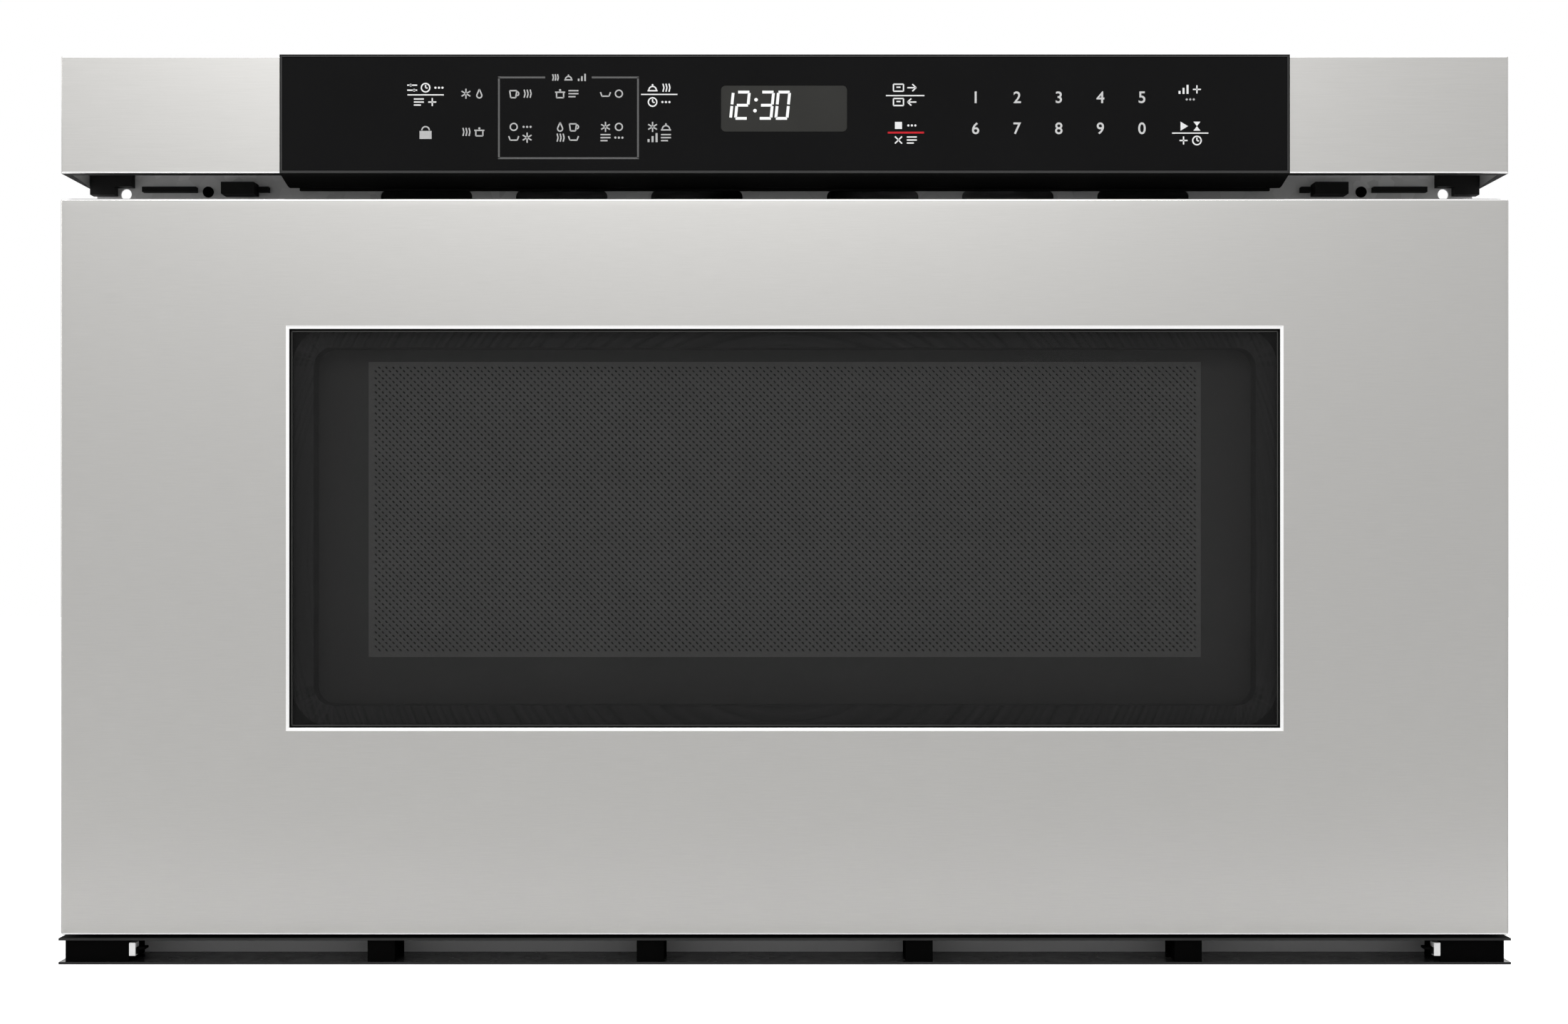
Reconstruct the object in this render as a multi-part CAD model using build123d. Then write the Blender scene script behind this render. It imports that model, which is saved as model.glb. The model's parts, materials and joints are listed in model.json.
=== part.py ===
from build123d import *
import math
import os

# Microwave drawer for a base cabinet, in millimetres. The front faces -Y, +X is to the viewer's
# right and +Z is up. The origin is the middle of the footprint, at the level of the surface that
# the base stands on. Pieces that come in pairs are drawn on the right and mirrored.

# ---- Depths, from the face to the back -----------------------------------------------------------
DOOR_THICKNESS = 42.0
DOOR_FLANGE_GAP = 2.0  # running gap between the closed door and the flange
FLANGE_SHEET = 1.5
CAVITY_DEPTH = 432.5
CAVITY_SHEET = 1.0
COMPARTMENT_DEPTH = 108.8  # behind the cavity, for the magnetron and the fan
REAR_SHEET = 1.2
GLAND_LIP = 3.0

OVERALL_DEPTH = (
    DOOR_THICKNESS + DOOR_FLANGE_GAP + FLANGE_SHEET + CAVITY_DEPTH + CAVITY_SHEET + COMPARTMENT_DEPTH
    + REAR_SHEET + GLAND_LIP
)
FRONT_Y = -OVERALL_DEPTH / 2
DOOR_BACK_Y = FRONT_Y + DOOR_THICKNESS
FLANGE_FRONT_Y = DOOR_BACK_Y + DOOR_FLANGE_GAP
FLANGE_BACK_Y = FLANGE_FRONT_Y + FLANGE_SHEET
CAVITY_BACK_Y = FLANGE_BACK_Y + CAVITY_DEPTH
CAVITY_REAR_FACE_Y = CAVITY_BACK_Y + CAVITY_SHEET
REAR_INNER_Y = CAVITY_REAR_FACE_Y + COMPARTMENT_DEPTH
REAR_PANEL_Y = REAR_INNER_Y + REAR_SHEET
REAR_Y = REAR_PANEL_Y + GLAND_LIP
COMPARTMENT_Y = (CAVITY_REAR_FACE_Y + REAR_INNER_Y) / 2

# ---- Half widths, from the middle outwards -------------------------------------------------------
HALF_CAVITY = 232.0
RACK_SIDE_GAP = 3.0  # cavity wall to rack
RACK_WIDTH = 12.0
ARM_SHEET = 2.0
SLIDE_DEPTH = 13.0
BASE_SHEET = 1.2
SIDE_SPACE = 13.3  # slide upstand to cabinet wrap
WRAP_SHEET = 1.0
FLANGE_OVERLAP = 21.5  # flange beyond the wrap
FACE_OVERLAP = 3.0  # door beyond the flange
TRIM_OVERHANG = 1.2  # lower trim beyond the door

RACK_X = HALF_CAVITY + CAVITY_SHEET + RACK_SIDE_GAP
ARM_X = RACK_X + RACK_WIDTH
SLIDE_X = ARM_X + ARM_SHEET
SLIDE_OUTER_X = SLIDE_X + SLIDE_DEPTH
HALF_INSIDE = SLIDE_OUTER_X + BASE_SHEET + SIDE_SPACE
HALF_BODY = HALF_INSIDE + WRAP_SHEET
HALF_FLANGE = HALF_BODY + FLANGE_OVERLAP
HALF_FACE = HALF_FLANGE + FACE_OVERLAP
HALF_TRIM = HALF_FACE + TRIM_OVERHANG

# ---- Heights of the body, from the floor up ------------------------------------------------------
SKID_HEIGHT = 8.0
SHAFT_HEIGHT = 17.8  # drive shaft above the base sheet
SLIDE_RISE = 51.3  # middle of the slides above the base sheet
SLIDE_HEIGHT = 45.0
SLIDE_CAVITY_GAP = 9.0
CAVITY_HEIGHT = 204.0
CHAMBER_HEIGHT = 20.0
WAVEGUIDE_HEIGHT = 30.0
ROOF_SPACE = 23.5  # waveguide to cabinet top
FLANGE_PROUD = 0.5  # flange above the cabinet top

BASE_TOP_Z = SKID_HEIGHT + BASE_SHEET
SHAFT_Z = BASE_TOP_Z + SHAFT_HEIGHT
SLIDE_Z = BASE_TOP_Z + SLIDE_RISE
CAVITY_FLOOR_Z = SLIDE_Z + SLIDE_HEIGHT / 2 + SLIDE_CAVITY_GAP
CAVITY_TOP_Z = CAVITY_FLOOR_Z + CAVITY_HEIGHT
CAVITY_ROOF_Z = CAVITY_TOP_Z + CAVITY_SHEET
CHAMBER_TOP_Z = CAVITY_ROOF_Z + CHAMBER_HEIGHT
WAVEGUIDE_TOP_Z = CHAMBER_TOP_Z + WAVEGUIDE_HEIGHT
BODY_INSIDE_Z = WAVEGUIDE_TOP_Z + ROOF_SPACE
BODY_TOP_Z = BODY_INSIDE_Z + WRAP_SHEET
FLANGE_TOP_Z = BODY_TOP_Z + FLANGE_PROUD

# ---- Heights of the face: the trim from the floor up, the rest from the panel's top down ----------
TRIM_HEIGHT = 11.0
DOOR_TRIM_GAP = 1.5
PANEL_RISE = 8.5  # control panel above the flange
PANEL_HEIGHT = 49.2
PANEL_GAP = 10.6
PANEL_PROUD = 0.5  # black panel above and in front of its end trims

PANEL_TOP_Z = FLANGE_TOP_Z + PANEL_RISE
PANEL_BOTTOM_Z = PANEL_TOP_Z - PANEL_HEIGHT
DOOR_TOP_Z = PANEL_BOTTOM_Z - PANEL_GAP
DOOR_BOTTOM_Z = TRIM_HEIGHT + DOOR_TRIM_GAP

# ---- Chassis details -----------------------------------------------------------------------------
FLANGE_CORNER = 4.0
MOUTH_LIP = 3.0  # flange overlap inside the cavity's side walls and ceiling
MOUTH_SILL = 1.5  # the same at the floor
MOUTH_CORNER = 6.0
MOUNT_HOLE_R = 2.4  # four screws through the flange into the cabinet
MOUNT_HOLE_INSET = 12.6  # from the flange's side edges
MOUNT_HOLE_LOW = 24.0
MOUNT_HOLE_DROP = 2.3  # upper pair below the control panel's lower edge
EXHAUST_COLUMNS = 3  # on each side of the middle
EXHAUST_INNER_X = 38.4  # middle of the innermost slot
EXHAUST_PITCH = 59.0
EXHAUST_WIDTH = 40.0
EXHAUST_HEIGHT = 15.0
EXHAUST_DROP = 0.3  # below the control panel's lower edge
EXHAUST_CORNER = 3.0
SKID_WIDTH = 40.0
SKID_X = 190.0
SKID_END_MARGIN = 12.0
BASE_LIP_HEIGHT = 16.0
UPSTAND_RISE = 5.0  # above the slide
CAVITY_LEG_INSET = 4.0
CAVITY_LEG_START = 310.5  # from the flange
CAVITY_LEG_LENGTH = 110.0
CAVITY_LEG_SHEET = 2.0
CAVITY_FOOT = 20.0
VENT_WIDTH = 44.0
VENT_HEIGHT = 4.0
VENT_CORNER = 1.5
VENT_PITCH_X = 50.0
VENT_PITCH_Z = 10.0
UPPER_VENT_X = 90.0  # middle of each of the two upper banks in the rear panel
UPPER_VENT_Z = 212.0
UPPER_VENT_ROWS = 9
LOWER_VENT_X = -120.0
LOWER_VENT_Z = 24.0
LOWER_VENT_ROWS = 6
SIDE_VENT_ROWS = 8
SIDE_VENT_DROP = 40.0  # lowest side slot below the fan's axis

HALF_MOUTH = HALF_CAVITY - MOUTH_LIP
MOUTH_Z = (CAVITY_FLOOR_Z + MOUTH_SILL, CAVITY_TOP_Z - MOUTH_LIP)
MOUNT_HOLE_X = HALF_FLANGE - MOUNT_HOLE_INSET
MOUNT_HOLE_Z = (MOUNT_HOLE_LOW, PANEL_BOTTOM_Z - MOUNT_HOLE_DROP)
EXHAUST_TOP_Z = PANEL_BOTTOM_Z - EXHAUST_DROP

# ---- Drawer tub ----------------------------------------------------------------------------------
TUB_SIDE_GAP = 12.0  # inside of the tub to the cavity's walls
TUB_FLOOR_GAP = 8.0
TUB_TOP_GAP = 11.0
TUB_BACK_GAP = 12.0
TUB_SHEET = 1.0
TUB_RIM = 5.0
TUB_CORNER = 20.0
TUB_FLOOR_RADIUS = 6.0
TUB_FLANGE_DROP = 4.0  # front flange below the tub's floor
TUB_FLANGE_RISE = 3.0  # front flange above the rim
TRAY_THICKNESS = 5.0
TRAY_MARGIN = 7.0
TRAY_CORNER = 14.0

HALF_TUB = HALF_CAVITY - TUB_SIDE_GAP
TUB_FLOOR_Z = CAVITY_FLOOR_Z + TUB_FLOOR_GAP
TUB_RIM_Z = CAVITY_TOP_Z - TUB_TOP_GAP
TUB_BACK_Y = CAVITY_BACK_Y - TUB_BACK_GAP

# ---- Door ----------------------------------------------------------------------------------------
SKIN_SHEET = 1.6
SKIN_RETURN = 20.0  # depth of the folded edge
SKIN_EDGE = 0.8  # softened outer edge
WINDOW_WIDTH = 417.4  # to the outer edge of the bevel
WINDOW_HEIGHT = 169.7
WINDOW_RISE = 85.3  # above the door's lower edge
WINDOW_BEVEL = 1.5
GASKET_WIDTH = 0.6
GLASS_THICKNESS = 4.0
GLASS_RECESS = 0.8  # glass behind the door face
FRAME_FIT = 0.4
FRAME_SHEET = 1.5
GLASS_SEAT = 9.0  # width of the flange behind the glass edge
TUNNEL_SIDE_INSET = 10.7  # from the window's outer edge
TUNNEL_BOTTOM_INSET = 10.4
TUNNEL_TOP_INSET = 8.8
TUNNEL_CORNER = 8.0
SCREEN_DEPTH = 16.0  # screen behind the door face
SCREEN_SHEET = 0.8
INNER_GLASS_INSET = 8.0  # from the tunnel
INNER_GLASS_CORNER = 4.0
INNER_GLASS_THICKNESS = 2.5
INNER_OPENING_LAP = 4.0
COVER_MARGIN = 4.0  # choke cover beyond the cavity
COVER_THICKNESS = 3.0
COVER_CORNER = 10.0
COVER_FIT = 0.5

WINDOW_HALF = WINDOW_WIDTH / 2
WINDOW_Z = (DOOR_BOTTOM_Z + WINDOW_RISE, DOOR_BOTTOM_Z + WINDOW_RISE + WINDOW_HEIGHT)
TUNNEL_HALF = WINDOW_HALF - TUNNEL_SIDE_INSET
TUNNEL_Z = (WINDOW_Z[0] + TUNNEL_BOTTOM_INSET, WINDOW_Z[1] - TUNNEL_TOP_INSET)
GLASS_FRONT_Y = FRONT_Y + GLASS_RECESS
GLASS_BACK_Y = GLASS_FRONT_Y + GLASS_THICKNESS
COVER_FRONT_Y = DOOR_BACK_Y - COVER_THICKNESS
SCREEN_Y = FRONT_Y + SCREEN_DEPTH

# ---- Slides and arms -----------------------------------------------------------------------------
SLIDE_LENGTH = 450.0
SLIDE_SETBACK = 2.5  # slide ends behind the flange
RAIL_SHEET = 1.2
RAIL_LIP = 1.4
RAIL_INSET = 0.8  # open side of the outer member from the slide's inner face
RAIL_STEP = 1.2  # the same, from member to member
BALL_R = 2.0
BALL_CLEARANCE = 0.1
BALL_PITCH = 24.0
BALL_COUNT = 10
CAGE_LENGTH = 254.0
CAGE_SETBACK = 100.5  # behind the flange
CAGE_SHEET = 0.6
CAGE_STRIP = 1.0
CAGE_POCKET = 0.2
CAGE_SIDE_GAP = 0.6  # cage web to the rail webs
CAGE_INSET = 3.4  # open side of the cages from the slide's inner face
ARM_HEIGHT = 49.0
ARM_SHORTFALL = 9.5  # arm's end in front of the slide's end
ARM_FLANGE = 22.0
SLOT_MARGIN = 2.0
SLOT_OUTER_MARGIN = 3.0
SLOT_CORNER = 2.0

SLIDE_FRONT_Y = FLANGE_BACK_Y + SLIDE_SETBACK
SLIDE_BACK_Y = SLIDE_FRONT_Y + SLIDE_LENGTH
CAGE_FRONT_Y = FLANGE_BACK_Y + CAGE_SETBACK
ARM_Z = (SLIDE_Z - ARM_HEIGHT / 2, SLIDE_Z + ARM_HEIGHT / 2)
ARM_FRONT_Y = COVER_FRONT_Y
ARM_BACK_Y = SLIDE_BACK_Y - ARM_SHORTFALL
SLOT_Z = (ARM_Z[0] - SLOT_MARGIN, ARM_Z[1] + SLOT_MARGIN)
SLOT_X = (RACK_X - SLOT_MARGIN, SLIDE_OUTER_X + SLOT_OUTER_MARGIN)

# ---- Drive ---------------------------------------------------------------------------------------
PRESSURE_ANGLE = math.radians(20.0)
ROOT_DEPTH = 1.25  # tooth root below the pitch line, in modules
BACKLASH = 0.15
RACK_MODULE = 1.5
PINION_TEETH = 18
PINION_WIDTH = 8.0
RACK_BACKING = 9.6  # rack body above the tooth roots
RACK_SETBACK = 4.5  # behind the flange
RACK_LENGTH = 426.0
SHAFT_R = 4.0
SHAFT_SETBACK = 35.5  # behind the flange
SHAFT_END_GAP = 1.0
SHAFT_FIT = 0.05
GEAR_MODULE = 1.0
FINAL_TEETH = 30
MOTOR_TEETH = 15
GEAR_WIDTH = 8.0
GEAR_X = 60.0
MOTOR_ANGLE = 60.0  # motor gear's direction from the shaft, from +Y towards +Z
MOTOR_R = 16.0
MOTOR_LENGTH = 62.0
MOTOR_BOSS_R = 5.0
MOTOR_BOSS_LENGTH = 4.0
MOTOR_SHAFT_R = 2.5
MOTOR_SHAFT_LENGTH = 18.0
MOTOR_PLATE = 2.0
MOTOR_PLATE_GAP = 3.0  # gear to bracket
MOTOR_PLATE_MARGIN = 4.0
MOTOR_FOOT = 26.0
SHAFT_HOLE_GAP = 1.5
BEARING_WIDTH = 8.0
BEARING_INSET = 21.0  # from the rack
BEARING_WALL = 10.0

PINION_R = RACK_MODULE * PINION_TEETH / 2
PITCH_LINE_Z = SHAFT_Z + PINION_R
SHAFT_Y = FLANGE_BACK_Y + SHAFT_SETBACK
GEAR_DISTANCE = GEAR_MODULE * (FINAL_TEETH + MOTOR_TEETH) / 2
MOTOR_Y = SHAFT_Y + GEAR_DISTANCE * math.cos(math.radians(MOTOR_ANGLE))
MOTOR_Z = SHAFT_Z + GEAR_DISTANCE * math.sin(math.radians(MOTOR_ANGLE))
PINION_X = RACK_X + (RACK_WIDTH - PINION_WIDTH) / 2
RACK_FRONT_Y = FLANGE_BACK_Y + RACK_SETBACK
RACK_BACK_Y = RACK_FRONT_Y + RACK_LENGTH
BEARING_X = RACK_X - BEARING_INSET

# ---- Microwave source, stirrer, fan and lamp -----------------------------------------------------
STIRRER_SETBACK = 210.5  # stirrer's axis behind the flange
CHAMBER_R = 90.0
COUPLING_HOLE_R = 22.0
STIRRER_R = 74.0
STIRRER_HUB_R = 12.0
STIRRER_HUB_HEIGHT = 8.0
STIRRER_BLADES = 4
STIRRER_BLADE_WIDTH = 30.0
STIRRER_BLADE_SHEET = 1.0
STIRRER_PITCH = 18.0
STIRRER_SHAFT_R = 2.5
STIRRER_SHAFT_DEPTH = 8.0  # shaft inside the motor
STIRRER_COVER_LAP = 7.0
STIRRER_COVER_THICKNESS = 0.8
STIRRER_MOTOR_R = 24.0
STIRRER_MOTOR_HEIGHT = 16.0
STIRRER_EAR_REACH = 34.0
STIRRER_EAR_WIDTH = 12.0
STIRRER_EAR_SHEET = 1.5
WAVEGUIDE_WIDTH = 87.0
WAVEGUIDE_FRONT = 70.0  # in front of the stirrer's axis
WAVEGUIDE_BACK_GAP = 3.8  # to the rear panel
WAVEGUIDE_SHEET = 1.0
WAVEGUIDE_HOLE_GAP = 2.0  # round the stirrer's shaft
MAGNETRON_WIDTH = 90.0
MAGNETRON_DEPTH = 80.0
MAGNETRON_HEIGHT = 72.0
MAGNETRON_SHEET = 2.0
MAGNETRON_FINS = 7
FIN_SHEET = 0.8
FIN_MARGIN = 12.0
FIN_INSET = 8.0
ANODE_R = 19.0
ANTENNA_R = 7.0
ANTENNA_HEIGHT = 22.0
ANTENNA_GAP = 4.0
FILTER_BOX_WIDTH = 60.0
FILTER_BOX_DEPTH = 56.0
FILTER_BOX_HEIGHT = 20.0
FAN_X = -85.0
FAN_DROP = 41.0  # fan's axis below the cavity roof
FAN_R = 46.0
FAN_GAP = 4.0
FAN_DEPTH = 18.0
FAN_BLADES = 5
FAN_BLADE_SHEET = 1.4
FAN_BLADE_WIDTH = 26.0
FAN_PITCH = 32.0
FAN_HUB_R = 13.0
FAN_SHAFT_R = 3.0
FAN_SHAFT_DEPTH = 14.0
FAN_MOTOR_R = 22.0
FAN_MOTOR_LENGTH = 30.0
FAN_MOTOR_GAP = 6.0
STRAP_WIDTH = 16.0
STRAP_SHEET = 4.0
STRAP_FOOT = 40.0
STRAP_FOOT_SHEET = 2.0
SHROUD_SHEET = 1.2
SHROUD_BELOW = 66.0  # bulkhead's lower edge below the fan's axis
LAMP_INSET = 52.0  # from the cavity wall
LAMP_DROP = 36.0  # below the cavity ceiling
LAMP_SIZE = 32.0
LAMP_LENGTH = 34.0
LAMP_WALL = 1.5
LAMP_HOLE_R = 1.6
LAMP_HOLE_PITCH = 6.0
BULB_R = 9.0
BULB_NECK_R = 5.0
BULB_GAP = 3.0

STIRRER_Y = FLANGE_BACK_Y + STIRRER_SETBACK
STIRRER_Z = (CAVITY_ROOF_Z + CHAMBER_TOP_Z) / 2
WAVEGUIDE_Y = (STIRRER_Y - WAVEGUIDE_FRONT, REAR_INNER_Y - WAVEGUIDE_BACK_GAP)
FAN_Y = COMPARTMENT_Y
FAN_Z = CAVITY_ROOF_Z - FAN_DROP
FAN_MOTOR_FRONT_X = FAN_X - FAN_DEPTH / 2 - FAN_MOTOR_GAP
LAMP_X = HALF_CAVITY - LAMP_INSET
LAMP_Z = CAVITY_TOP_Z - LAMP_DROP

# ---- Electrics on the base and the rear panel ----------------------------------------------------
TRANSFORMER_INSET = 122.5  # its middle from the side of the base
TRANSFORMER_WIDTH = 90.0
TRANSFORMER_DEPTH = 88.0
TRANSFORMER_CORE = 70.0
TRANSFORMER_FOOT = 2.0
WINDING_DEPTH = 16.0
WINDING_WIDTH = 62.0
WINDING_HEIGHT = 48.0
WINDING_CORNER = 10.0
CORE_INSET = 4.0
CAPACITOR_OFFSET_X = 107.0  # right of the transformer
CAPACITOR_LENGTH = 80.0
CAPACITOR_WIDTH = 30.0
CAPACITOR_HEIGHT = 46.0
CAPACITOR_CORNER = 10.0
CAPACITOR_OFFSET_Y = 23.6  # behind the middle of the compartment
CAPACITOR_STRAP = 12.0
CAPACITOR_STRAP_SHEET = 1.5
TERMINAL_R = 3.0
TERMINAL_LENGTH = 7.0
FILTER_INSET = 107.5  # its middle from the side of the base
FILTER_WIDTH = 100.0
FILTER_LOW_Z = 30.0
FILTER_HEIGHT = 75.0
FILTER_STANDOFF = 10.0
COIL_R = 16.0
COIL_HOLE_R = 7.0
COIL_HEIGHT = 12.0
COIL_PLACE = (25.0, 40.0)  # from the board's lower left corner
FUSE_SIZE = (30.0, 8.0, 8.0)
FUSE_PLACE = (70.0, 54.0)
FILTER_CAPACITOR_SIZE = (32.0, 14.0, 18.0)
FILTER_CAPACITOR_PLACE = (68.0, 26.0)
BOARD_THICKNESS = 1.6
STANDOFF_R = 3.0
STANDOFF_INSET = 6.0

TRANSFORMER_X = TRANSFORMER_INSET - HALF_INSIDE
CAPACITOR_X = TRANSFORMER_X + CAPACITOR_OFFSET_X
FILTER_X = HALF_INSIDE - FILTER_INSET

# ---- Interlock -----------------------------------------------------------------------------------
HOOK_OUTSIDE = 15.0  # hook beyond the cavity's half width
HOOK_THICKNESS = 4.0
HOOK_RISE = 66.0  # above the cavity floor
HOOK_HEIGHT = 12.0
HOOK_BASE_MARGIN = 8.0
HOOK_BASE_THICKNESS = 2.5
HOOK_REACH = 22.5
HOOK_NOTCH = (6.0, 12.0)  # from the tip
HOOK_NOTCH_DEPTH = 5.0
HOOK_WINDOW_MARGIN = 4.0
PLUNGER_R = 2.0
PLUNGER_CAP_R = 3.0
PLUNGER_CAP = 1.5
PLUNGER_GAP = 0.3
PLUNGER_STICK_OUT = 9.7
PLUNGER_DEPTH = 7.0
PLUNGER_OVERTRAVEL = 2.0
PLUNGER_FIT = 0.05
SWITCH_LENGTH = 22.0
SWITCH_WALL = 5.0
SWITCH_PLATE = 1.2

HOOK_X = (HALF_CAVITY + HOOK_OUTSIDE, HALF_CAVITY + HOOK_OUTSIDE + HOOK_THICKNESS)
HOOK_Z = (CAVITY_FLOOR_Z + HOOK_RISE, CAVITY_FLOOR_Z + HOOK_RISE + HOOK_HEIGHT)
HOOK_TIP_Y = COVER_FRONT_Y + HOOK_BASE_THICKNESS + HOOK_REACH
PLUNGER_AXIS = (sum(HOOK_X) / 2, sum(HOOK_Z) / 2)
SWITCH_FACE_Y = HOOK_TIP_Y + PLUNGER_GAP + PLUNGER_STICK_OUT

# ---- Control panel -------------------------------------------------------------------------------
BLACK_PANEL_WIDTH = 422.8
PANEL_RIM = 1.1  # edge of the housing round the glass
PANEL_GLASS = 3.0
PANEL_GLASS_RECESS = 0.3
PANEL_GLASS_FIT = 0.1
PANEL_WALL = 2.5
PANEL_BEVEL = 0.8
CHIN_DEPTH = 17.6
CHIN_DROP = 3.0
DISPLAY_WIDTH = 53.0
DISPLAY_HEIGHT = 19.5
DISPLAY_X = -0.3
DISPLAY_RISE = 27.1  # above the panel's lower edge
DISPLAY_CORNER = 2.0
DISPLAY_RECESS = 0.2
DISPLAY_LIP = 2.0
BOARD_MARGIN = 18.0
BOARD_EDGE_GAP = 3.0
BOARD_STANDOFF = 6.0
RELAY_COLUMNS = (-150.0, -90.0, 60.0, 120.0)
RELAY_SIZE = (22.0, 9.0, 14.0)
RELAY_RISE = 8.0
END_TRIM_SHEET = 1.0
SEAL_OFFSET = 13.2  # from the black panel's edge
SEAL_INSET = 23.5  # from the face's side edge
SEAL_DROP = 1.7  # below the panel's lower edge
SEAL_HEIGHT = 2.2
SEAL_DEPTH = 4.0
SEAL_CLEARANCE = 0.5  # to the bracket and to the screw's head
BRACKET_OFFSET = 18.1  # from the black panel's edge
BRACKET_WIDTH = 14.3
BRACKET_DEPTH = 10.0
BRACKET_DROP = 3.4
BRACKET_TUCK = 1.7  # up inside the end trim
FOAM_INSET = 1.5  # from the face's side edge
FOAM_WIDTH = 10.6
FOAM_DEPTH = 6.0
FOAM_DROP = 3.3
FOAM_TUCK = 6.7
FOAM_LEDGE_WIDTH = 7.4  # over the mounting hole
FOAM_LEDGE_RISE = 0.3

HALF_PANEL = BLACK_PANEL_WIDTH / 2
PANEL_CROWN_Z = PANEL_TOP_Z + PANEL_PROUD
PANEL_GLASS_Y = FRONT_Y + PANEL_GLASS_RECESS
PANEL_GLASS_BACK_Y = PANEL_GLASS_Y + PANEL_GLASS
DISPLAY_Z = PANEL_BOTTOM_Z + DISPLAY_RISE
BRACKET_X = (HALF_PANEL + BRACKET_OFFSET, HALF_PANEL + BRACKET_OFFSET + BRACKET_WIDTH)
FOAM_X = (HALF_FACE - FOAM_INSET - FOAM_WIDTH, HALF_FACE - FOAM_INSET)

# ---- Lower trim ----------------------------------------------------------------------------------
TRIM_SETBACK = 1.0
TRIM_WEB_DEPTH = 27.0
TRIM_SHEET = 1.0
TRIM_WEB_INSET = 2.7
POST_WIDTH = 11.3
POST_SPACING = 112.8
POST_COUNT = 4
POST_SETBACK = 1.0
END_BLOCK_WIDTH = 26.5

TRIM_FRONT_Y = FRONT_Y + TRIM_SETBACK
TRIM_WEB_Y = TRIM_FRONT_Y + TRIM_WEB_DEPTH

# ---- Screws and gland ----------------------------------------------------------------------------
SCREW_R = 2.0
SCREW_HEAD_R = 4.0
SCREW_HEAD_HEIGHT = 1.8
SCREW_LENGTH = 8.0
SCREW_HOLE_CLEARANCE = 0.2
DOOR_SCREW_OFFSET = 8.0  # from the arm
DOOR_SCREW_INSET = 10.0
FLANGE_SCREW_OFFSET = 7.7  # from the panel bracket
FLANGE_SCREW_DROP = 1.3
REAR_SCREW_INSET = 16.5
REAR_SCREW_MARGIN = 12.0
SIDE_SCREW_COUNT = 3
SIDE_SCREW_MARGIN = 20.5
SIDE_SCREW_RISE = 7.8
GLAND_INSET = 48.5
GLAND_Z = 40.0
GLAND_BORE_R = 5.0
GLAND_R = 9.0
GLAND_LIP_R = 12.0
GLAND_INNER_LIP = 5.8
GLAND_FIT = 0.05

SCREW_HOLE_R = SCREW_R + SCREW_HOLE_CLEARANCE
DOOR_SCREW_X = SLIDE_X + DOOR_SCREW_OFFSET
DOOR_SCREW_Z = (ARM_Z[0] + DOOR_SCREW_INSET, ARM_Z[1] - DOOR_SCREW_INSET)
FLANGE_SCREW_X = BRACKET_X[1] + FLANGE_SCREW_OFFSET
FLANGE_SCREW_Z = PANEL_BOTTOM_Z - FLANGE_SCREW_DROP
REAR_SCREW_X = (REAR_SCREW_INSET - HALF_BODY, 0.0, HALF_BODY - REAR_SCREW_INSET)
REAR_SCREW_Z = (SKID_HEIGHT + REAR_SCREW_MARGIN, BODY_TOP_Z - REAR_SCREW_MARGIN)
SIDE_SCREW_PITCH = (REAR_INNER_Y - FLANGE_BACK_Y - 2 * SIDE_SCREW_MARGIN) / (SIDE_SCREW_COUNT - 1)
SIDE_SCREW_Y = [FLANGE_BACK_Y + SIDE_SCREW_MARGIN + index * SIDE_SCREW_PITCH for index in range(SIDE_SCREW_COUNT)]
SIDE_SCREW_Z = BASE_TOP_Z + SIDE_SCREW_RISE
GLAND_X = GLAND_INSET - HALF_BODY


# ---- Building blocks -----------------------------------------------------------------------------
def block(x, y, z):
    """Box between a low and a high limit on each axis."""
    centre = [sum(limits) / 2 for limits in (x, y, z)]
    size = [limits[1] - limits[0] for limits in (x, y, z)]
    return Pos(*centre) * Box(*size)


def rectangle(across, up, corner=0.0):
    """Rectangle between limits, with rounded corners where a radius is given."""
    width = across[1] - across[0]
    height = up[1] - up[0]
    outline = RectangleRounded(width, height, corner) if corner else Rectangle(width, height)
    return Pos(sum(across) / 2, sum(up) / 2) * outline


def polygon(points):
    """Closed face through the points."""
    return make_face(Polyline(*points, close=True))


def along_x(outline, start, end):
    """Extrude an outline drawn in Y and Z."""
    return extrude(Plane.YZ.offset(start) * outline, end - start)


def along_y(outline, start, end):
    """Extrude an outline drawn in X and Z."""
    return extrude(Plane.XZ.offset(-end) * outline, end - start)


def along_z(outline, start, end):
    """Extrude an outline drawn in X and Y."""
    return extrude(Plane.XY.offset(start) * outline, end - start)


def disc(across, up, radius):
    """Circle at a place on the drawing plane."""
    return Pos(across, up) * Circle(radius)


def mirrored(shape):
    """The left-hand copy of a right-hand piece."""
    return mirror(shape, about=Plane.YZ)


def both_sides(shape):
    """A right-hand piece and its left-hand copy as two solids."""
    return group([shape, mirrored(shape)])


def group(shapes):
    """Separate solids under one name."""
    return Compound(children=[solid for shape in shapes for solid in shape.solids()])


def side_span(inner, outer, side):
    """Limits on X between two distances from the middle, on the side +1 or -1."""
    return tuple(sorted((side * inner, side * outer)))


def screw_to_y(x, seat_y, z, direction):
    """Pan-head screw whose head sits at seat_y and whose shank runs along +Y or -Y."""
    head = sorted((seat_y, seat_y - direction * SCREW_HEAD_HEIGHT))
    shank = sorted((seat_y, seat_y + direction * SCREW_LENGTH))
    body = along_y(disc(x, z, SCREW_HEAD_R), *head)
    return body + along_y(disc(x, z, SCREW_R), *shank)


def screw_to_x(seat_x, y, z):
    """Pan-head screw on the right-hand side, with its shank pointing inwards."""
    head = along_x(disc(y, z, SCREW_HEAD_R), seat_x, seat_x + SCREW_HEAD_HEIGHT)
    return head + along_x(disc(y, z, SCREW_R), seat_x - SCREW_LENGTH, seat_x)


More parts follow.
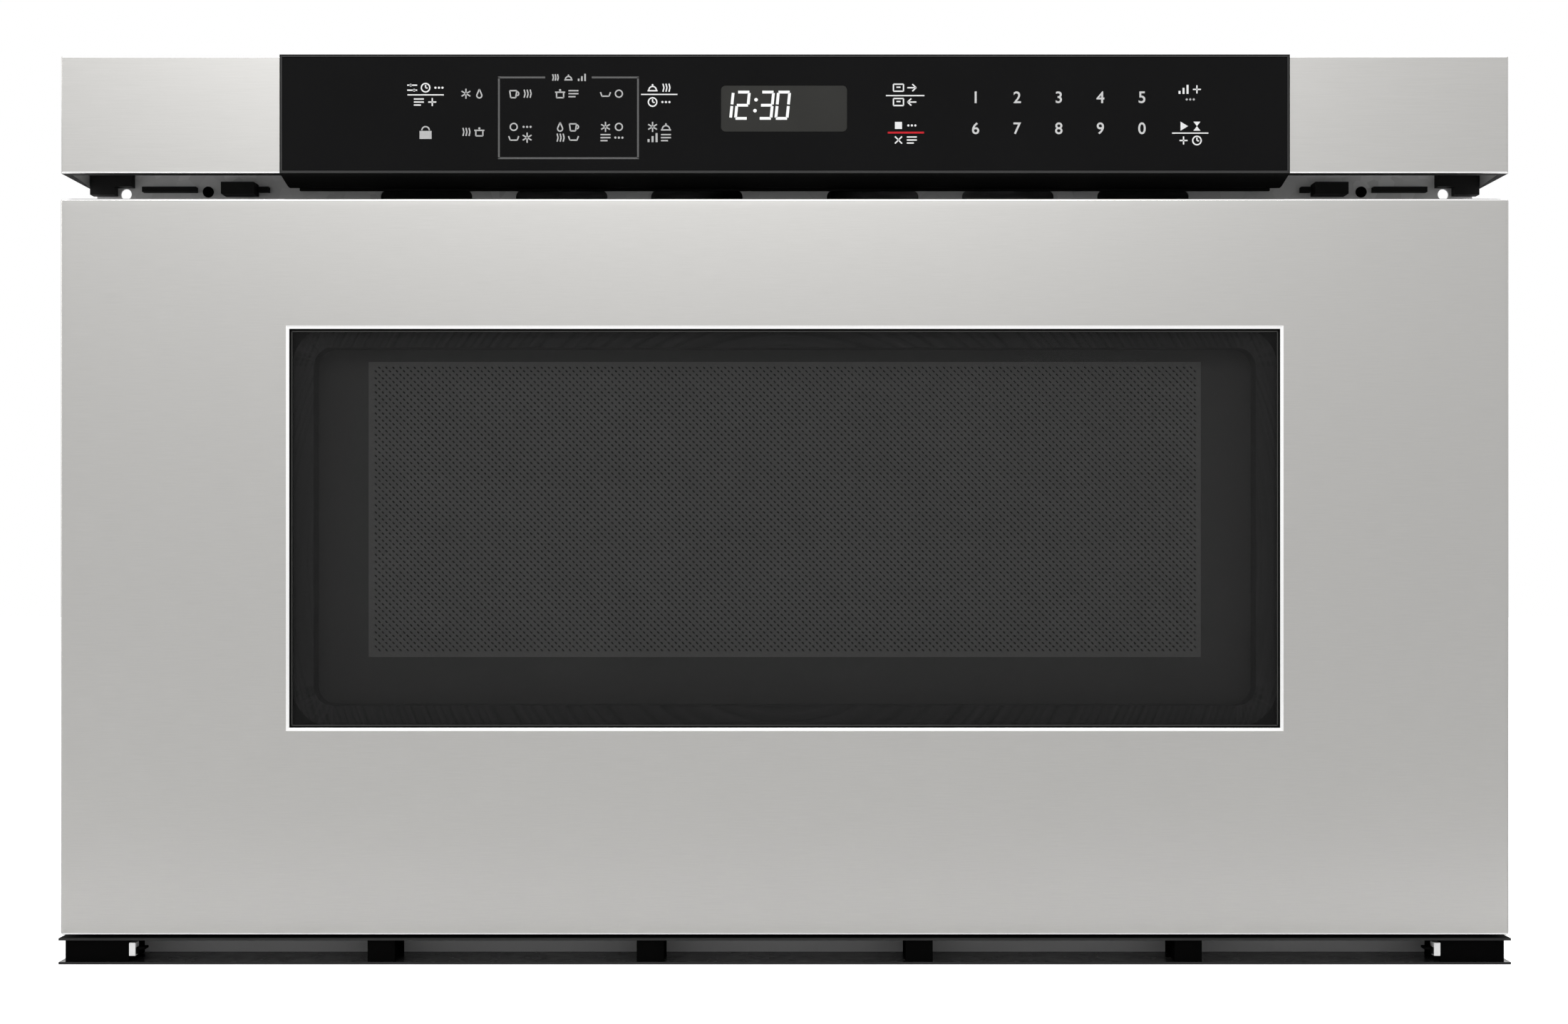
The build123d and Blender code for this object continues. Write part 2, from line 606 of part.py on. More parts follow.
# ---- Gears ---------------------------------------------------------------------------------------
def gear_outline(module, teeth, phase_degrees):
    """Involute gear with one tooth's middle at the given angle from the first drawing axis."""
    pitch_r = module * teeth / 2
    base_r = pitch_r * math.cos(PRESSURE_ANGLE)
    root_r = pitch_r - ROOT_DEPTH * module
    tip_r = pitch_r + module
    half_thickness = (math.pi * module / 2 - BACKLASH) / (2 * pitch_r)
    involute = math.tan(PRESSURE_ANGLE) - PRESSURE_ANGLE
    flank = [root_r]
    flank += [base_r + (tip_r - base_r) * step / 4 for step in range(5)] if root_r < base_r else [tip_r]
    points = []
    for tooth in range(teeth):
        middle = math.radians(phase_degrees) + 2 * math.pi * tooth / teeth
        for side, radii in ((-1, flank), (1, flank[::-1])):
            for radius in radii:
                roll = math.acos(min(1.0, base_r / radius))
                half = half_thickness + involute - (math.tan(roll) - roll)
                angle = middle + side * half
                points.append((radius * math.cos(angle), radius * math.sin(angle)))
    return polygon(points)


def spur_gear(module, teeth, phase_degrees, centre, start_x, width, bore_r):
    """Gear along X, bored, at a place in Y and Z."""
    outline = Pos(*centre) * gear_outline(module, teeth, phase_degrees)
    bore = disc(*centre, bore_r)
    return along_x(outline - bore, start_x, start_x + width)


def rack():
    """Right-hand rack with its teeth downwards, and a tooth space above the pinion at rest."""
    pitch = math.pi * RACK_MODULE
    root_z = PITCH_LINE_Z + ROOT_DEPTH * RACK_MODULE
    tip_z = PITCH_LINE_Z - RACK_MODULE
    half = (pitch / 2 - BACKLASH) / 2
    slope = math.tan(PRESSURE_ANGLE)
    half_tip = half - (PITCH_LINE_Z - tip_z) * slope
    half_root = half + (root_z - PITCH_LINE_Z) * slope
    first = math.ceil((RACK_FRONT_Y - SHAFT_Y) / pitch) + 0.5
    points = [(RACK_BACK_Y, root_z + RACK_BACKING), (RACK_FRONT_Y, root_z + RACK_BACKING), (RACK_FRONT_Y, root_z)]
    centre = SHAFT_Y + first * pitch
    while centre + half_root < RACK_BACK_Y:
        points += [(centre - half_root, root_z), (centre - half_tip, tip_z)]
        points += [(centre + half_tip, tip_z), (centre + half_root, root_z)]
        centre += pitch
    points.append((RACK_BACK_Y, root_z))
    return along_x(polygon(points), RACK_X, ARM_X)


# ---- Chassis pieces ------------------------------------------------------------------------------
def base_plate():
    """Pressed base with two hollow skids, edge lips and the upstands that carry the slides."""
    floor = (FLANGE_BACK_Y, REAR_INNER_Y)
    plate = block((-HALF_INSIDE, HALF_INSIDE), floor, (SKID_HEIGHT, BASE_TOP_Z))
    skid_y = (floor[0] + SKID_END_MARGIN, floor[1] - SKID_END_MARGIN)
    for side in (-1, 1):
        outside = side_span(SKID_X - SKID_WIDTH / 2, SKID_X + SKID_WIDTH / 2, side)
        inside = (outside[0] + BASE_SHEET, outside[1] - BASE_SHEET)
        trough_y = (skid_y[0] + BASE_SHEET, skid_y[1] - BASE_SHEET)
        plate += block(outside, skid_y, (0, BASE_TOP_Z))
        plate -= block(inside, trough_y, (BASE_SHEET, BASE_TOP_Z))
        lip = side_span(HALF_INSIDE - BASE_SHEET, HALF_INSIDE, side)
        plate += block(lip, floor, (BASE_TOP_Z, BASE_TOP_Z + BASE_LIP_HEIGHT))
        upstand = side_span(SLIDE_OUTER_X, SLIDE_OUTER_X + BASE_SHEET, side)
        upstand_top = SLIDE_Z + SLIDE_HEIGHT / 2 + UPSTAND_RISE
        plate += block(upstand, (SLIDE_FRONT_Y, SLIDE_BACK_Y), (BASE_TOP_Z, upstand_top))
    return plate - side_screw_holes()


def side_screw_holes():
    """Holes for the screws along the lower edges of the wrap."""
    span = (HALF_BODY - SCREW_LENGTH, HALF_BODY)
    right = [along_x(disc(y, SIDE_SCREW_Z, SCREW_HOLE_R), *span) for y in SIDE_SCREW_Y]
    return right + [mirrored(hole) for hole in right]


def front_frame():
    """Flange with the oven mouth, slide slots, exhaust slots and mounting holes."""
    outline = rectangle((-HALF_FLANGE, HALF_FLANGE), (0, FLANGE_TOP_Z), FLANGE_CORNER)
    outline -= rectangle((-HALF_MOUTH, HALF_MOUTH), MOUTH_Z, MOUTH_CORNER)
    exhaust_z = (EXHAUST_TOP_Z - EXHAUST_HEIGHT, EXHAUST_TOP_Z)
    window_z = (HOOK_Z[0] - HOOK_WINDOW_MARGIN, HOOK_Z[1] + HOOK_WINDOW_MARGIN)
    for side in (-1, 1):
        for column in range(EXHAUST_COLUMNS):
            inner = EXHAUST_INNER_X - EXHAUST_WIDTH / 2 + column * EXHAUST_PITCH
            outline -= rectangle(side_span(inner, inner + EXHAUST_WIDTH, side), exhaust_z, EXHAUST_CORNER)
        outline -= rectangle(side_span(*SLOT_X, side), SLOT_Z, SLOT_CORNER)
        window_x = side_span(HOOK_X[0] - HOOK_WINDOW_MARGIN, HOOK_X[1] + HOOK_WINDOW_MARGIN, side)
        outline -= rectangle(window_x, window_z, SLOT_CORNER)
        outline -= disc(side * FLANGE_SCREW_X, FLANGE_SCREW_Z, SCREW_HOLE_R)
        for z in MOUNT_HOLE_Z:
            outline -= disc(side * MOUNT_HOLE_X, z, MOUNT_HOLE_R)
    return along_y(outline, FLANGE_FRONT_Y, FLANGE_BACK_Y)


def cabinet_wrap():
    """Sides and top in one folded sheet, with vent slots near the back."""
    outside = block((-HALF_BODY, HALF_BODY), (FLANGE_BACK_Y, REAR_INNER_Y), (SKID_HEIGHT, BODY_TOP_Z))
    inside = block((-HALF_INSIDE, HALF_INSIDE), (FLANGE_BACK_Y, REAR_INNER_Y), (SKID_HEIGHT, BODY_INSIDE_Z))
    wrap = outside - inside
    slot_y = (FAN_Y - VENT_WIDTH / 2, FAN_Y + VENT_WIDTH / 2)
    slots = []
    for row in range(SIDE_VENT_ROWS):
        low = FAN_Z - SIDE_VENT_DROP + row * VENT_PITCH_Z
        slots.append(block((-HALF_BODY, HALF_BODY), slot_y, (low, low + VENT_HEIGHT)))
    return wrap - slots - side_screw_holes()


def rear_panel():
    """Back sheet with three banks of vent slots and the hole for the cord gland."""
    outline = rectangle((-HALF_BODY, HALF_BODY), (SKID_HEIGHT, BODY_TOP_Z))
    outline -= disc(GLAND_X, GLAND_Z, GLAND_R + GLAND_FIT)
    upper = (UPPER_VENT_Z, UPPER_VENT_ROWS)
    lower = (LOWER_VENT_Z, LOWER_VENT_ROWS)
    for bank_x, (low_z, rows) in ((-UPPER_VENT_X, upper), (UPPER_VENT_X, upper), (LOWER_VENT_X, lower)):
        for row in range(rows):
            z = low_z + row * VENT_PITCH_Z
            for column in (-1, 0, 1):
                x = bank_x + column * VENT_PITCH_X
                span = (x - VENT_WIDTH / 2, x + VENT_WIDTH / 2)
                outline -= rectangle(span, (z, z + VENT_HEIGHT), VENT_CORNER)
    for x in REAR_SCREW_X:
        for z in REAR_SCREW_Z:
            outline -= disc(x, z, SCREW_HOLE_R)
    return along_y(outline, REAR_INNER_Y, REAR_PANEL_Y)


def cord_gland():
    """Grooved bush in the rear panel, with a clear bore for a supply cord."""
    inner_end = REAR_INNER_Y - GLAND_INNER_LIP
    bush = along_y(disc(GLAND_X, GLAND_Z, GLAND_R), inner_end, REAR_Y)
    bush += along_y(disc(GLAND_X, GLAND_Z, GLAND_LIP_R), inner_end, REAR_INNER_Y)
    bush += along_y(disc(GLAND_X, GLAND_Z, GLAND_LIP_R), REAR_PANEL_Y, REAR_Y)
    return bush - along_y(disc(GLAND_X, GLAND_Z, GLAND_BORE_R), inner_end, REAR_Y)


def oven_cavity():
    """Fixed steel box open at the front, with the stirrer chamber on top and two legs below."""
    wide = (-HALF_CAVITY, HALF_CAVITY)
    outer_x = (wide[0] - CAVITY_SHEET, wide[1] + CAVITY_SHEET)
    outer_z = (CAVITY_FLOOR_Z - CAVITY_SHEET, CAVITY_ROOF_Z)
    cavity = block(outer_x, (FLANGE_BACK_Y, CAVITY_REAR_FACE_Y), outer_z)
    wall_r = CHAMBER_R + CAVITY_SHEET
    cavity += along_z(disc(0, STIRRER_Y, wall_r), CAVITY_ROOF_Z, CHAMBER_TOP_Z)
    cavity -= block(wide, (FLANGE_BACK_Y, CAVITY_BACK_Y), (CAVITY_FLOOR_Z, CAVITY_TOP_Z))
    cavity -= along_z(disc(0, STIRRER_Y, CHAMBER_R), CAVITY_TOP_Z, CHAMBER_TOP_Z - CAVITY_SHEET)
    cavity -= along_z(disc(0, STIRRER_Y, COUPLING_HOLE_R), CHAMBER_TOP_Z - CAVITY_SHEET, CHAMBER_TOP_Z)
    leg_outer = HALF_CAVITY - CAVITY_LEG_INSET
    leg_y = (FLANGE_BACK_Y + CAVITY_LEG_START, FLANGE_BACK_Y + CAVITY_LEG_START + CAVITY_LEG_LENGTH)
    for side in (-1, 1):
        leg_x = side_span(leg_outer - CAVITY_LEG_SHEET, leg_outer, side)
        foot_x = side_span(leg_outer - CAVITY_FOOT, leg_outer, side)
        cavity += block(leg_x, leg_y, (BASE_TOP_Z, outer_z[0]))
        cavity += block(foot_x, leg_y, (BASE_TOP_Z, BASE_TOP_Z + CAVITY_LEG_SHEET))
    holes = []
    for column in (-1, 0, 1):
        for row in (-1, 0, 1):
            hole = disc(LAMP_X + column * LAMP_HOLE_PITCH, LAMP_Z + row * LAMP_HOLE_PITCH, LAMP_HOLE_R)
            holes.append(along_y(hole, CAVITY_BACK_Y, CAVITY_REAR_FACE_Y))
    return cavity - holes


# ---- Microwave source, stirrer, fan and electrics ------------------------------------------------
def stirrer_cover():
    """Flat round cover under the stirrer chamber, flush with the cavity ceiling."""
    low = CAVITY_TOP_Z - STIRRER_COVER_THICKNESS
    return along_z(disc(0, STIRRER_Y, CHAMBER_R + STIRRER_COVER_LAP), low, CAVITY_TOP_Z)


def stirrer_fan():
    """Flat four-bladed stirrer on a shaft that runs up through the waveguide."""
    half_hub = STIRRER_HUB_HEIGHT / 2
    fan = along_z(disc(0, STIRRER_Y, STIRRER_HUB_R), STIRRER_Z - half_hub, STIRRER_Z + half_hub)
    tip = WAVEGUIDE_TOP_Z + STIRRER_SHAFT_DEPTH
    fan += along_z(disc(0, STIRRER_Y, STIRRER_SHAFT_R), STIRRER_Z, tip)
    root = STIRRER_HUB_R / 2
    middle = (root + STIRRER_R) / 2
    blade = Box(STIRRER_R - root, STIRRER_BLADE_WIDTH, STIRRER_BLADE_SHEET)
    blade = Pos(middle, 0, 0) * Rot(STIRRER_PITCH, 0, 0) * blade
    for index in range(STIRRER_BLADES):
        turn = Rot(0, 0, 360.0 * index / STIRRER_BLADES)
        fan += Pos(0, STIRRER_Y, STIRRER_Z) * turn * blade
    return fan


def stirrer_motor():
    """Small round motor on top of the waveguide, with a shaft hole from below."""
    low = WAVEGUIDE_TOP_Z
    motor = along_z(disc(0, STIRRER_Y, STIRRER_MOTOR_R), low, low + STIRRER_MOTOR_HEIGHT)
    ear_y = (STIRRER_Y - STIRRER_EAR_WIDTH / 2, STIRRER_Y + STIRRER_EAR_WIDTH / 2)
    motor += block((-STIRRER_EAR_REACH, STIRRER_EAR_REACH), ear_y, (low, low + STIRRER_EAR_SHEET))
    bore = disc(0, STIRRER_Y, STIRRER_SHAFT_R + SHAFT_FIT)
    return motor - along_z(bore, low, low + (STIRRER_SHAFT_DEPTH + STIRRER_MOTOR_HEIGHT) / 2)


def waveguide():
    """Rectangular duct from the magnetron's antenna to the stirrer chamber."""
    half = WAVEGUIDE_WIDTH / 2
    wall = WAVEGUIDE_SHEET
    low, high = CHAMBER_TOP_Z, WAVEGUIDE_TOP_Z
    duct = block((-half, half), WAVEGUIDE_Y, (low, high))
    inside_y = (WAVEGUIDE_Y[0] + wall, WAVEGUIDE_Y[1] - wall)
    duct -= block((wall - half, half - wall), inside_y, (low + wall, high - wall))
    duct -= along_z(disc(0, STIRRER_Y, COUPLING_HOLE_R), low, low + wall)
    duct -= along_z(disc(0, STIRRER_Y, STIRRER_SHAFT_R + WAVEGUIDE_HOLE_GAP), high - wall, high)
    return duct - along_z(disc(0, COMPARTMENT_Y, ANTENNA_R + ANTENNA_GAP), low, low + wall)


def magnetron():
    """Yoke, finned anode, antenna and filter box, hung below the waveguide."""
    half_x, half_y = MAGNETRON_WIDTH / 2, MAGNETRON_DEPTH / 2
    wall = MAGNETRON_SHEET
    y = (COMPARTMENT_Y - half_y, COMPARTMENT_Y + half_y)
    inside_y = (y[0] + wall, y[1] - wall)
    top = CHAMBER_TOP_Z
    low = top - MAGNETRON_HEIGHT
    body = block((-half_x, half_x), y, (low, top))
    body -= block((-half_x, half_x), inside_y, (low + wall, top - wall))
    body += along_z(disc(0, COMPARTMENT_Y, ANODE_R), low, top)
    spacing = (MAGNETRON_HEIGHT - 2 * FIN_MARGIN) / (MAGNETRON_FINS - 1)
    for index in range(MAGNETRON_FINS):
        z = low + FIN_MARGIN + index * spacing
        body += block((FIN_INSET - half_x, half_x - FIN_INSET), inside_y, (z - FIN_SHEET / 2, z + FIN_SHEET / 2))
    body += along_z(disc(0, COMPARTMENT_Y, ANTENNA_R), top, top + ANTENNA_HEIGHT)
    box_x = (-FILTER_BOX_WIDTH / 2, FILTER_BOX_WIDTH / 2)
    box_y = (COMPARTMENT_Y - FILTER_BOX_DEPTH / 2, COMPARTMENT_Y + FILTER_BOX_DEPTH / 2)
    return body + block(box_x, box_y, (low - FILTER_BOX_HEIGHT, low))


def fan_shroud():
    """Bulkhead between cavity and rear panel, with the ring round the fan."""
    back, front = FAN_X - FAN_DEPTH / 2, FAN_X + FAN_DEPTH / 2
    outline = rectangle((CAVITY_REAR_FACE_Y, REAR_INNER_Y), (FAN_Z - SHROUD_BELOW, CHAMBER_TOP_Z))
    plate = along_x(outline, front, front + SHROUD_SHEET)
    opening = disc(FAN_Y, FAN_Z, FAN_R + FAN_GAP)
    plate += along_x(disc(FAN_Y, FAN_Z, FAN_R + FAN_GAP + SHROUD_SHEET), back, front)
    return plate - along_x(opening, back, front + SHROUD_SHEET)


def fan_motor():
    """Motor behind the fan, on a strap to the rear panel."""
    front = FAN_MOTOR_FRONT_X
    motor = along_x(disc(FAN_Y, FAN_Z, FAN_MOTOR_R), front - FAN_MOTOR_LENGTH, front)
    middle = front - FAN_MOTOR_LENGTH / 2
    strap_x = (middle - STRAP_WIDTH / 2, middle + STRAP_WIDTH / 2)
    strap_z = (FAN_Z - STRAP_SHEET / 2, FAN_Z + STRAP_SHEET / 2)
    foot_z = (FAN_Z - STRAP_FOOT / 2, FAN_Z + STRAP_FOOT / 2)
    motor += block(strap_x, (FAN_Y, REAR_INNER_Y), strap_z)
    motor += block(strap_x, (REAR_INNER_Y - STRAP_FOOT_SHEET, REAR_INNER_Y), foot_z)
    bore_depth = (FAN_SHAFT_DEPTH + FAN_MOTOR_LENGTH) / 2
    return motor - along_x(disc(FAN_Y, FAN_Z, FAN_SHAFT_R + SHAFT_FIT), front - bore_depth, front)


def cooling_fan():
    """Five pitched blades on a hub, with the shaft that enters the motor."""
    fan = along_x(disc(FAN_Y, FAN_Z, FAN_HUB_R), FAN_X - FAN_DEPTH / 2, FAN_X + FAN_DEPTH / 2)
    fan += along_x(disc(FAN_Y, FAN_Z, FAN_SHAFT_R), FAN_MOTOR_FRONT_X - FAN_SHAFT_DEPTH, FAN_X)
    root = FAN_HUB_R / 2
    blade = Box(FAN_BLADE_SHEET, FAN_BLADE_WIDTH, FAN_R - root)
    blade = Pos(0, 0, (root + FAN_R) / 2) * Rot(0, 0, FAN_PITCH) * blade
    tip = along_x(disc(0, 0, FAN_R), -FAN_DEPTH, FAN_DEPTH)
    for index in range(FAN_BLADES):
        turned = Rot(360.0 * index / FAN_BLADES, 0, 0) * blade
        fan += Pos(FAN_X, FAN_Y, FAN_Z) * (turned & tip)
    return fan


def transformer():
    """Laminated core with a winding at each end, on a foot plate."""
    half_x, half_y = TRANSFORMER_WIDTH / 2, TRANSFORMER_DEPTH / 2
    x = (TRANSFORMER_X - half_x, TRANSFORMER_X + half_x)
    y = (COMPARTMENT_Y - half_y, COMPARTMENT_Y + half_y)
    foot_top = BASE_TOP_Z + TRANSFORMER_FOOT
    body = block(x, y, (BASE_TOP_Z, foot_top))
    core_y = (y[0] + WINDING_DEPTH, y[1] - WINDING_DEPTH)
    body += block((x[0] + CORE_INSET, x[1] - CORE_INSET), core_y, (foot_top, foot_top + TRANSFORMER_CORE))
    middle_z = foot_top + TRANSFORMER_CORE / 2
    winding_x = (TRANSFORMER_X - WINDING_WIDTH / 2, TRANSFORMER_X + WINDING_WIDTH / 2)
    winding_z = (middle_z - WINDING_HEIGHT / 2, middle_z + WINDING_HEIGHT / 2)
    return body + along_y(rectangle(winding_x, winding_z, WINDING_CORNER), *y)


def capacitor():
    """Flat oval can with two terminals, held down by a strap."""
    x = (CAPACITOR_X - CAPACITOR_LENGTH / 2, CAPACITOR_X + CAPACITOR_LENGTH / 2)
    middle_y = COMPARTMENT_Y + CAPACITOR_OFFSET_Y
    y = (middle_y - CAPACITOR_WIDTH / 2, middle_y + CAPACITOR_WIDTH / 2)
    z = (BASE_TOP_Z, BASE_TOP_Z + CAPACITOR_HEIGHT)
    can = along_x(rectangle(y, z, CAPACITOR_CORNER), *x)
    strap_x = (CAPACITOR_X - CAPACITOR_STRAP / 2, CAPACITOR_X + CAPACITOR_STRAP / 2)
    strap_y = (y[0] - CAPACITOR_STRAP, y[1] + CAPACITOR_STRAP)
    can += block(strap_x, strap_y, (z[0], z[0] + CAPACITOR_STRAP_SHEET))
    for terminal_y in (middle_y - CAPACITOR_WIDTH / 4, middle_y + CAPACITOR_WIDTH / 4):
        can += along_x(disc(terminal_y, sum(z) / 2, TERMINAL_R), x[1], x[1] + TERMINAL_LENGTH)
    return can


def standoffs(x, z, start, end):
    """Four round standoffs near the corners of a board."""
    return [
        along_y(disc(place_x, place_z, STANDOFF_R), start, end)
        for place_x in (x[0] + STANDOFF_INSET, x[1] - STANDOFF_INSET)
        for place_z in (z[0] + STANDOFF_INSET, z[1] - STANDOFF_INSET)
    ]


def filter_board():
    """Mains filter board on standoffs from the rear panel."""
    x = (FILTER_X - FILTER_WIDTH / 2, FILTER_X + FILTER_WIDTH / 2)
    z = (FILTER_LOW_Z, FILTER_LOW_Z + FILTER_HEIGHT)
    back = REAR_INNER_Y - FILTER_STANDOFF
    front = back - BOARD_THICKNESS
    board = block(x, (front, back), z) + standoffs(x, z, back, REAR_INNER_Y)
    coil = Circle(COIL_R) - Circle(COIL_HOLE_R)
    board += along_y(Pos(x[0] + COIL_PLACE[0], z[0] + COIL_PLACE[1]) * coil, front - COIL_HEIGHT, front)
    for place, size in ((FUSE_PLACE, FUSE_SIZE), (FILTER_CAPACITOR_PLACE, FILTER_CAPACITOR_SIZE)):
        middle_x, low_z = x[0] + place[0], z[0] + place[1] - size[1] / 2
        across = (middle_x - size[0] / 2, middle_x + size[0] / 2)
        board += block(across, (front - size[2], front), (low_z, low_z + size[1]))
    return board


def cavity_lamp():
    """Lamp housing against the cavity's back wall, with the bulb inside it."""
    x = (LAMP_X - LAMP_SIZE / 2, LAMP_X + LAMP_SIZE / 2)
    z = (LAMP_Z - LAMP_SIZE / 2, LAMP_Z + LAMP_SIZE / 2)
    back = CAVITY_REAR_FACE_Y + LAMP_LENGTH
    housing = block(x, (CAVITY_REAR_FACE_Y, back), z)
    inside_x = (x[0] + LAMP_WALL, x[1] - LAMP_WALL)
    inside_z = (z[0] + LAMP_WALL, z[1] - LAMP_WALL)
    housing -= block(inside_x, (CAVITY_REAR_FACE_Y, back - LAMP_WALL), inside_z)
    bulb_y = CAVITY_REAR_FACE_Y + BULB_GAP + BULB_R
    bulb = Pos(LAMP_X, bulb_y, LAMP_Z) * Sphere(BULB_R)
    bulb += along_y(disc(LAMP_X, LAMP_Z, BULB_NECK_R), bulb_y, back - LAMP_WALL)
    return group([housing, bulb])


# ---- Slides --------------------------------------------------------------------------------------
def half_heights():
    """Half heights of the three members, from the outside inwards."""
    step = RAIL_SHEET + 2 * (BALL_R + BALL_CLEARANCE)
    outer = SLIDE_HEIGHT / 2
    return outer, outer - step, outer - 2 * step


def web_steps():
    """Distance of each member's web from the slide's outer face."""
    step = RAIL_SHEET + 2 * CAGE_SIDE_GAP + CAGE_SHEET
    return 0.0, step, 2 * step


def channel(web_x, inner_x, half_height):
    """Lipped channel along Y whose web is on the outer side."""
    low, high = SLIDE_Z - half_height, SLIDE_Z + half_height
    y = (SLIDE_FRONT_Y, SLIDE_BACK_Y)
    rail = block((web_x - RAIL_SHEET, web_x), y, (low, high))
    rail += block((inner_x, web_x), y, (high - RAIL_SHEET, high))
    rail += block((inner_x, web_x), y, (low, low + RAIL_SHEET))
    rail += block((inner_x, inner_x + RAIL_SHEET), y, (high - RAIL_SHEET - RAIL_LIP, high))
    rail += block((inner_x, inner_x + RAIL_SHEET), y, (low, low + RAIL_SHEET + RAIL_LIP))
    return rail


def outer_rail():
    """Fixed member, screwed to the base plate's upstand."""
    return channel(SLIDE_OUTER_X, SLIDE_X + RAIL_INSET, half_heights()[0])


def mid_rail():
    """Middle member, which moves half as far as the drawer."""
    return channel(SLIDE_OUTER_X - web_steps()[1], SLIDE_X + RAIL_INSET + RAIL_STEP, half_heights()[1])


def inner_rail():
    """Inner member, with its web against the drawer's arm."""
    half_height = half_heights()[2]
    y = (SLIDE_FRONT_Y, SLIDE_BACK_Y)
    reach = SLIDE_OUTER_X - web_steps()[2] - CAGE_SIDE_GAP
    low, high = SLIDE_Z - half_height, SLIDE_Z + half_height
    rail = block((SLIDE_X, SLIDE_X + RAIL_SHEET), y, (low, high))
    rail += block((SLIDE_X, reach), y, (high - RAIL_SHEET, high))
    return rail + block((SLIDE_X, reach), y, (low, low + RAIL_SHEET))


def ball_cage(layer):
    """Cage and balls between two members: layer 0 is the outer pair, layer 1 the inner one."""
    race = half_heights()[layer] - RAIL_SHEET - BALL_CLEARANCE - BALL_R
    web = SLIDE_OUTER_X - web_steps()[layer] - RAIL_SHEET - CAGE_SIDE_GAP
    inner = SLIDE_X + CAGE_INSET
    ball_x = (inner + web) / 2
    y = (CAGE_FRONT_Y, CAGE_FRONT_Y + CAGE_LENGTH)
    cage = block((web - CAGE_SHEET, web), y, (SLIDE_Z - race - CAGE_STRIP / 2, SLIDE_Z + race + CAGE_STRIP / 2))
    first = sum(y) / 2 - (BALL_COUNT - 1) / 2 * BALL_PITCH
    balls = []
    pockets = []
    for side in (-1, 1):
        z = SLIDE_Z + side * race
        cage += block((inner, web), y, (z - CAGE_STRIP / 2, z + CAGE_STRIP / 2))
        for index in range(BALL_COUNT):
            place = (ball_x, first + index * BALL_PITCH)
            pockets.append(along_z(disc(*place, BALL_R + CAGE_POCKET), z - CAGE_STRIP, z + CAGE_STRIP))
            balls.append(Pos(*place, z) * Sphere(BALL_R))
    return group([cage - pockets] + balls)


# ---- Drawer arms and drive -----------------------------------------------------------------------
def drawer_arm():
    """Side plate that carries the door, the slide's inner member and the rack."""
    arm = block((ARM_X, SLIDE_X), (ARM_FRONT_Y, ARM_BACK_Y), ARM_Z)
    arm += block((SLIDE_X, SLIDE_X + ARM_FLANGE), (ARM_FRONT_Y, ARM_FRONT_Y + ARM_SHEET), ARM_Z)
    sheet_y = (ARM_FRONT_Y, ARM_FRONT_Y + ARM_SHEET)
    return arm - [along_y(disc(DOOR_SCREW_X, z, SCREW_HOLE_R), *sheet_y) for z in DOOR_SCREW_Z]


def drive_shaft():
    """Cross shaft that turns both pinions together."""
    end = ARM_X - SHAFT_END_GAP
    return along_x(disc(SHAFT_Y, SHAFT_Z, SHAFT_R), -end, end)


def shaft_gears():
    """Two rack pinions and the final gear, all keyed to the cross shaft."""
    centre = (SHAFT_Y, SHAFT_Z)
    pinion = spur_gear(RACK_MODULE, PINION_TEETH, 90.0, centre, PINION_X, PINION_WIDTH, SHAFT_R)
    final = spur_gear(GEAR_MODULE, FINAL_TEETH, MOTOR_ANGLE, centre, GEAR_X, GEAR_WIDTH, SHAFT_R)
    return group([pinion, mirrored(pinion), final])


def motor_gear():
    """Gear on the motor's output, with a tooth space towards the final gear."""
    centre = (MOTOR_Y, MOTOR_Z)
    phase = MOTOR_ANGLE + 180.0 + 180.0 / MOTOR_TEETH
    outline = Pos(*centre) * gear_outline(GEAR_MODULE, MOTOR_TEETH, phase)
    gear = along_x(outline, GEAR_X, GEAR_X + GEAR_WIDTH)
    end = GEAR_X + GEAR_WIDTH
    return gear + along_x(disc(*centre, MOTOR_SHAFT_R), end, end + MOTOR_SHAFT_LENGTH)


def drive_motor():
    """Gear motor on its bracket, which stands on the base plate."""
    gear_end = GEAR_X + GEAR_WIDTH
    plate_x = (gear_end + MOTOR_PLATE_GAP, gear_end + MOTOR_PLATE_GAP + MOTOR_PLATE)
    side_y = (MOTOR_Y - MOTOR_R - 2 * MOTOR_PLATE_MARGIN, MOTOR_Y + MOTOR_R + MOTOR_PLATE_MARGIN)
    motor_end = plate_x[1] + MOTOR_LENGTH
    motor = block(plate_x, side_y, (BASE_TOP_Z, MOTOR_Z + MOTOR_R + MOTOR_PLATE_MARGIN))
    motor += block((plate_x[0], plate_x[0] + MOTOR_FOOT), side_y, (BASE_TOP_Z, BASE_TOP_Z + MOTOR_PLATE))
    motor += along_x(disc(MOTOR_Y, MOTOR_Z, MOTOR_R), plate_x[1], motor_end)
    motor += along_x(disc(MOTOR_Y, MOTOR_Z, MOTOR_BOSS_R), motor_end, motor_end + MOTOR_BOSS_LENGTH)
    motor -= along_x(disc(SHAFT_Y, SHAFT_Z, SHAFT_R + SHAFT_HOLE_GAP), *plate_x)
    bore_end = gear_end + MOTOR_SHAFT_LENGTH + MOTOR_PLATE
    return motor - along_x(disc(MOTOR_Y, MOTOR_Z, MOTOR_SHAFT_R + SHAFT_FIT), plate_x[0], bore_end)


def shaft_bearing():
    """Bearing block on the base plate."""
    y = (SHAFT_Y - BEARING_WALL, SHAFT_Y + BEARING_WALL)
    outline = rectangle(y, (BASE_TOP_Z, SHAFT_Z + BEARING_WALL)) - disc(SHAFT_Y, SHAFT_Z, SHAFT_R + SHAFT_FIT)
    return along_x(outline, BEARING_X, BEARING_X + BEARING_WIDTH)


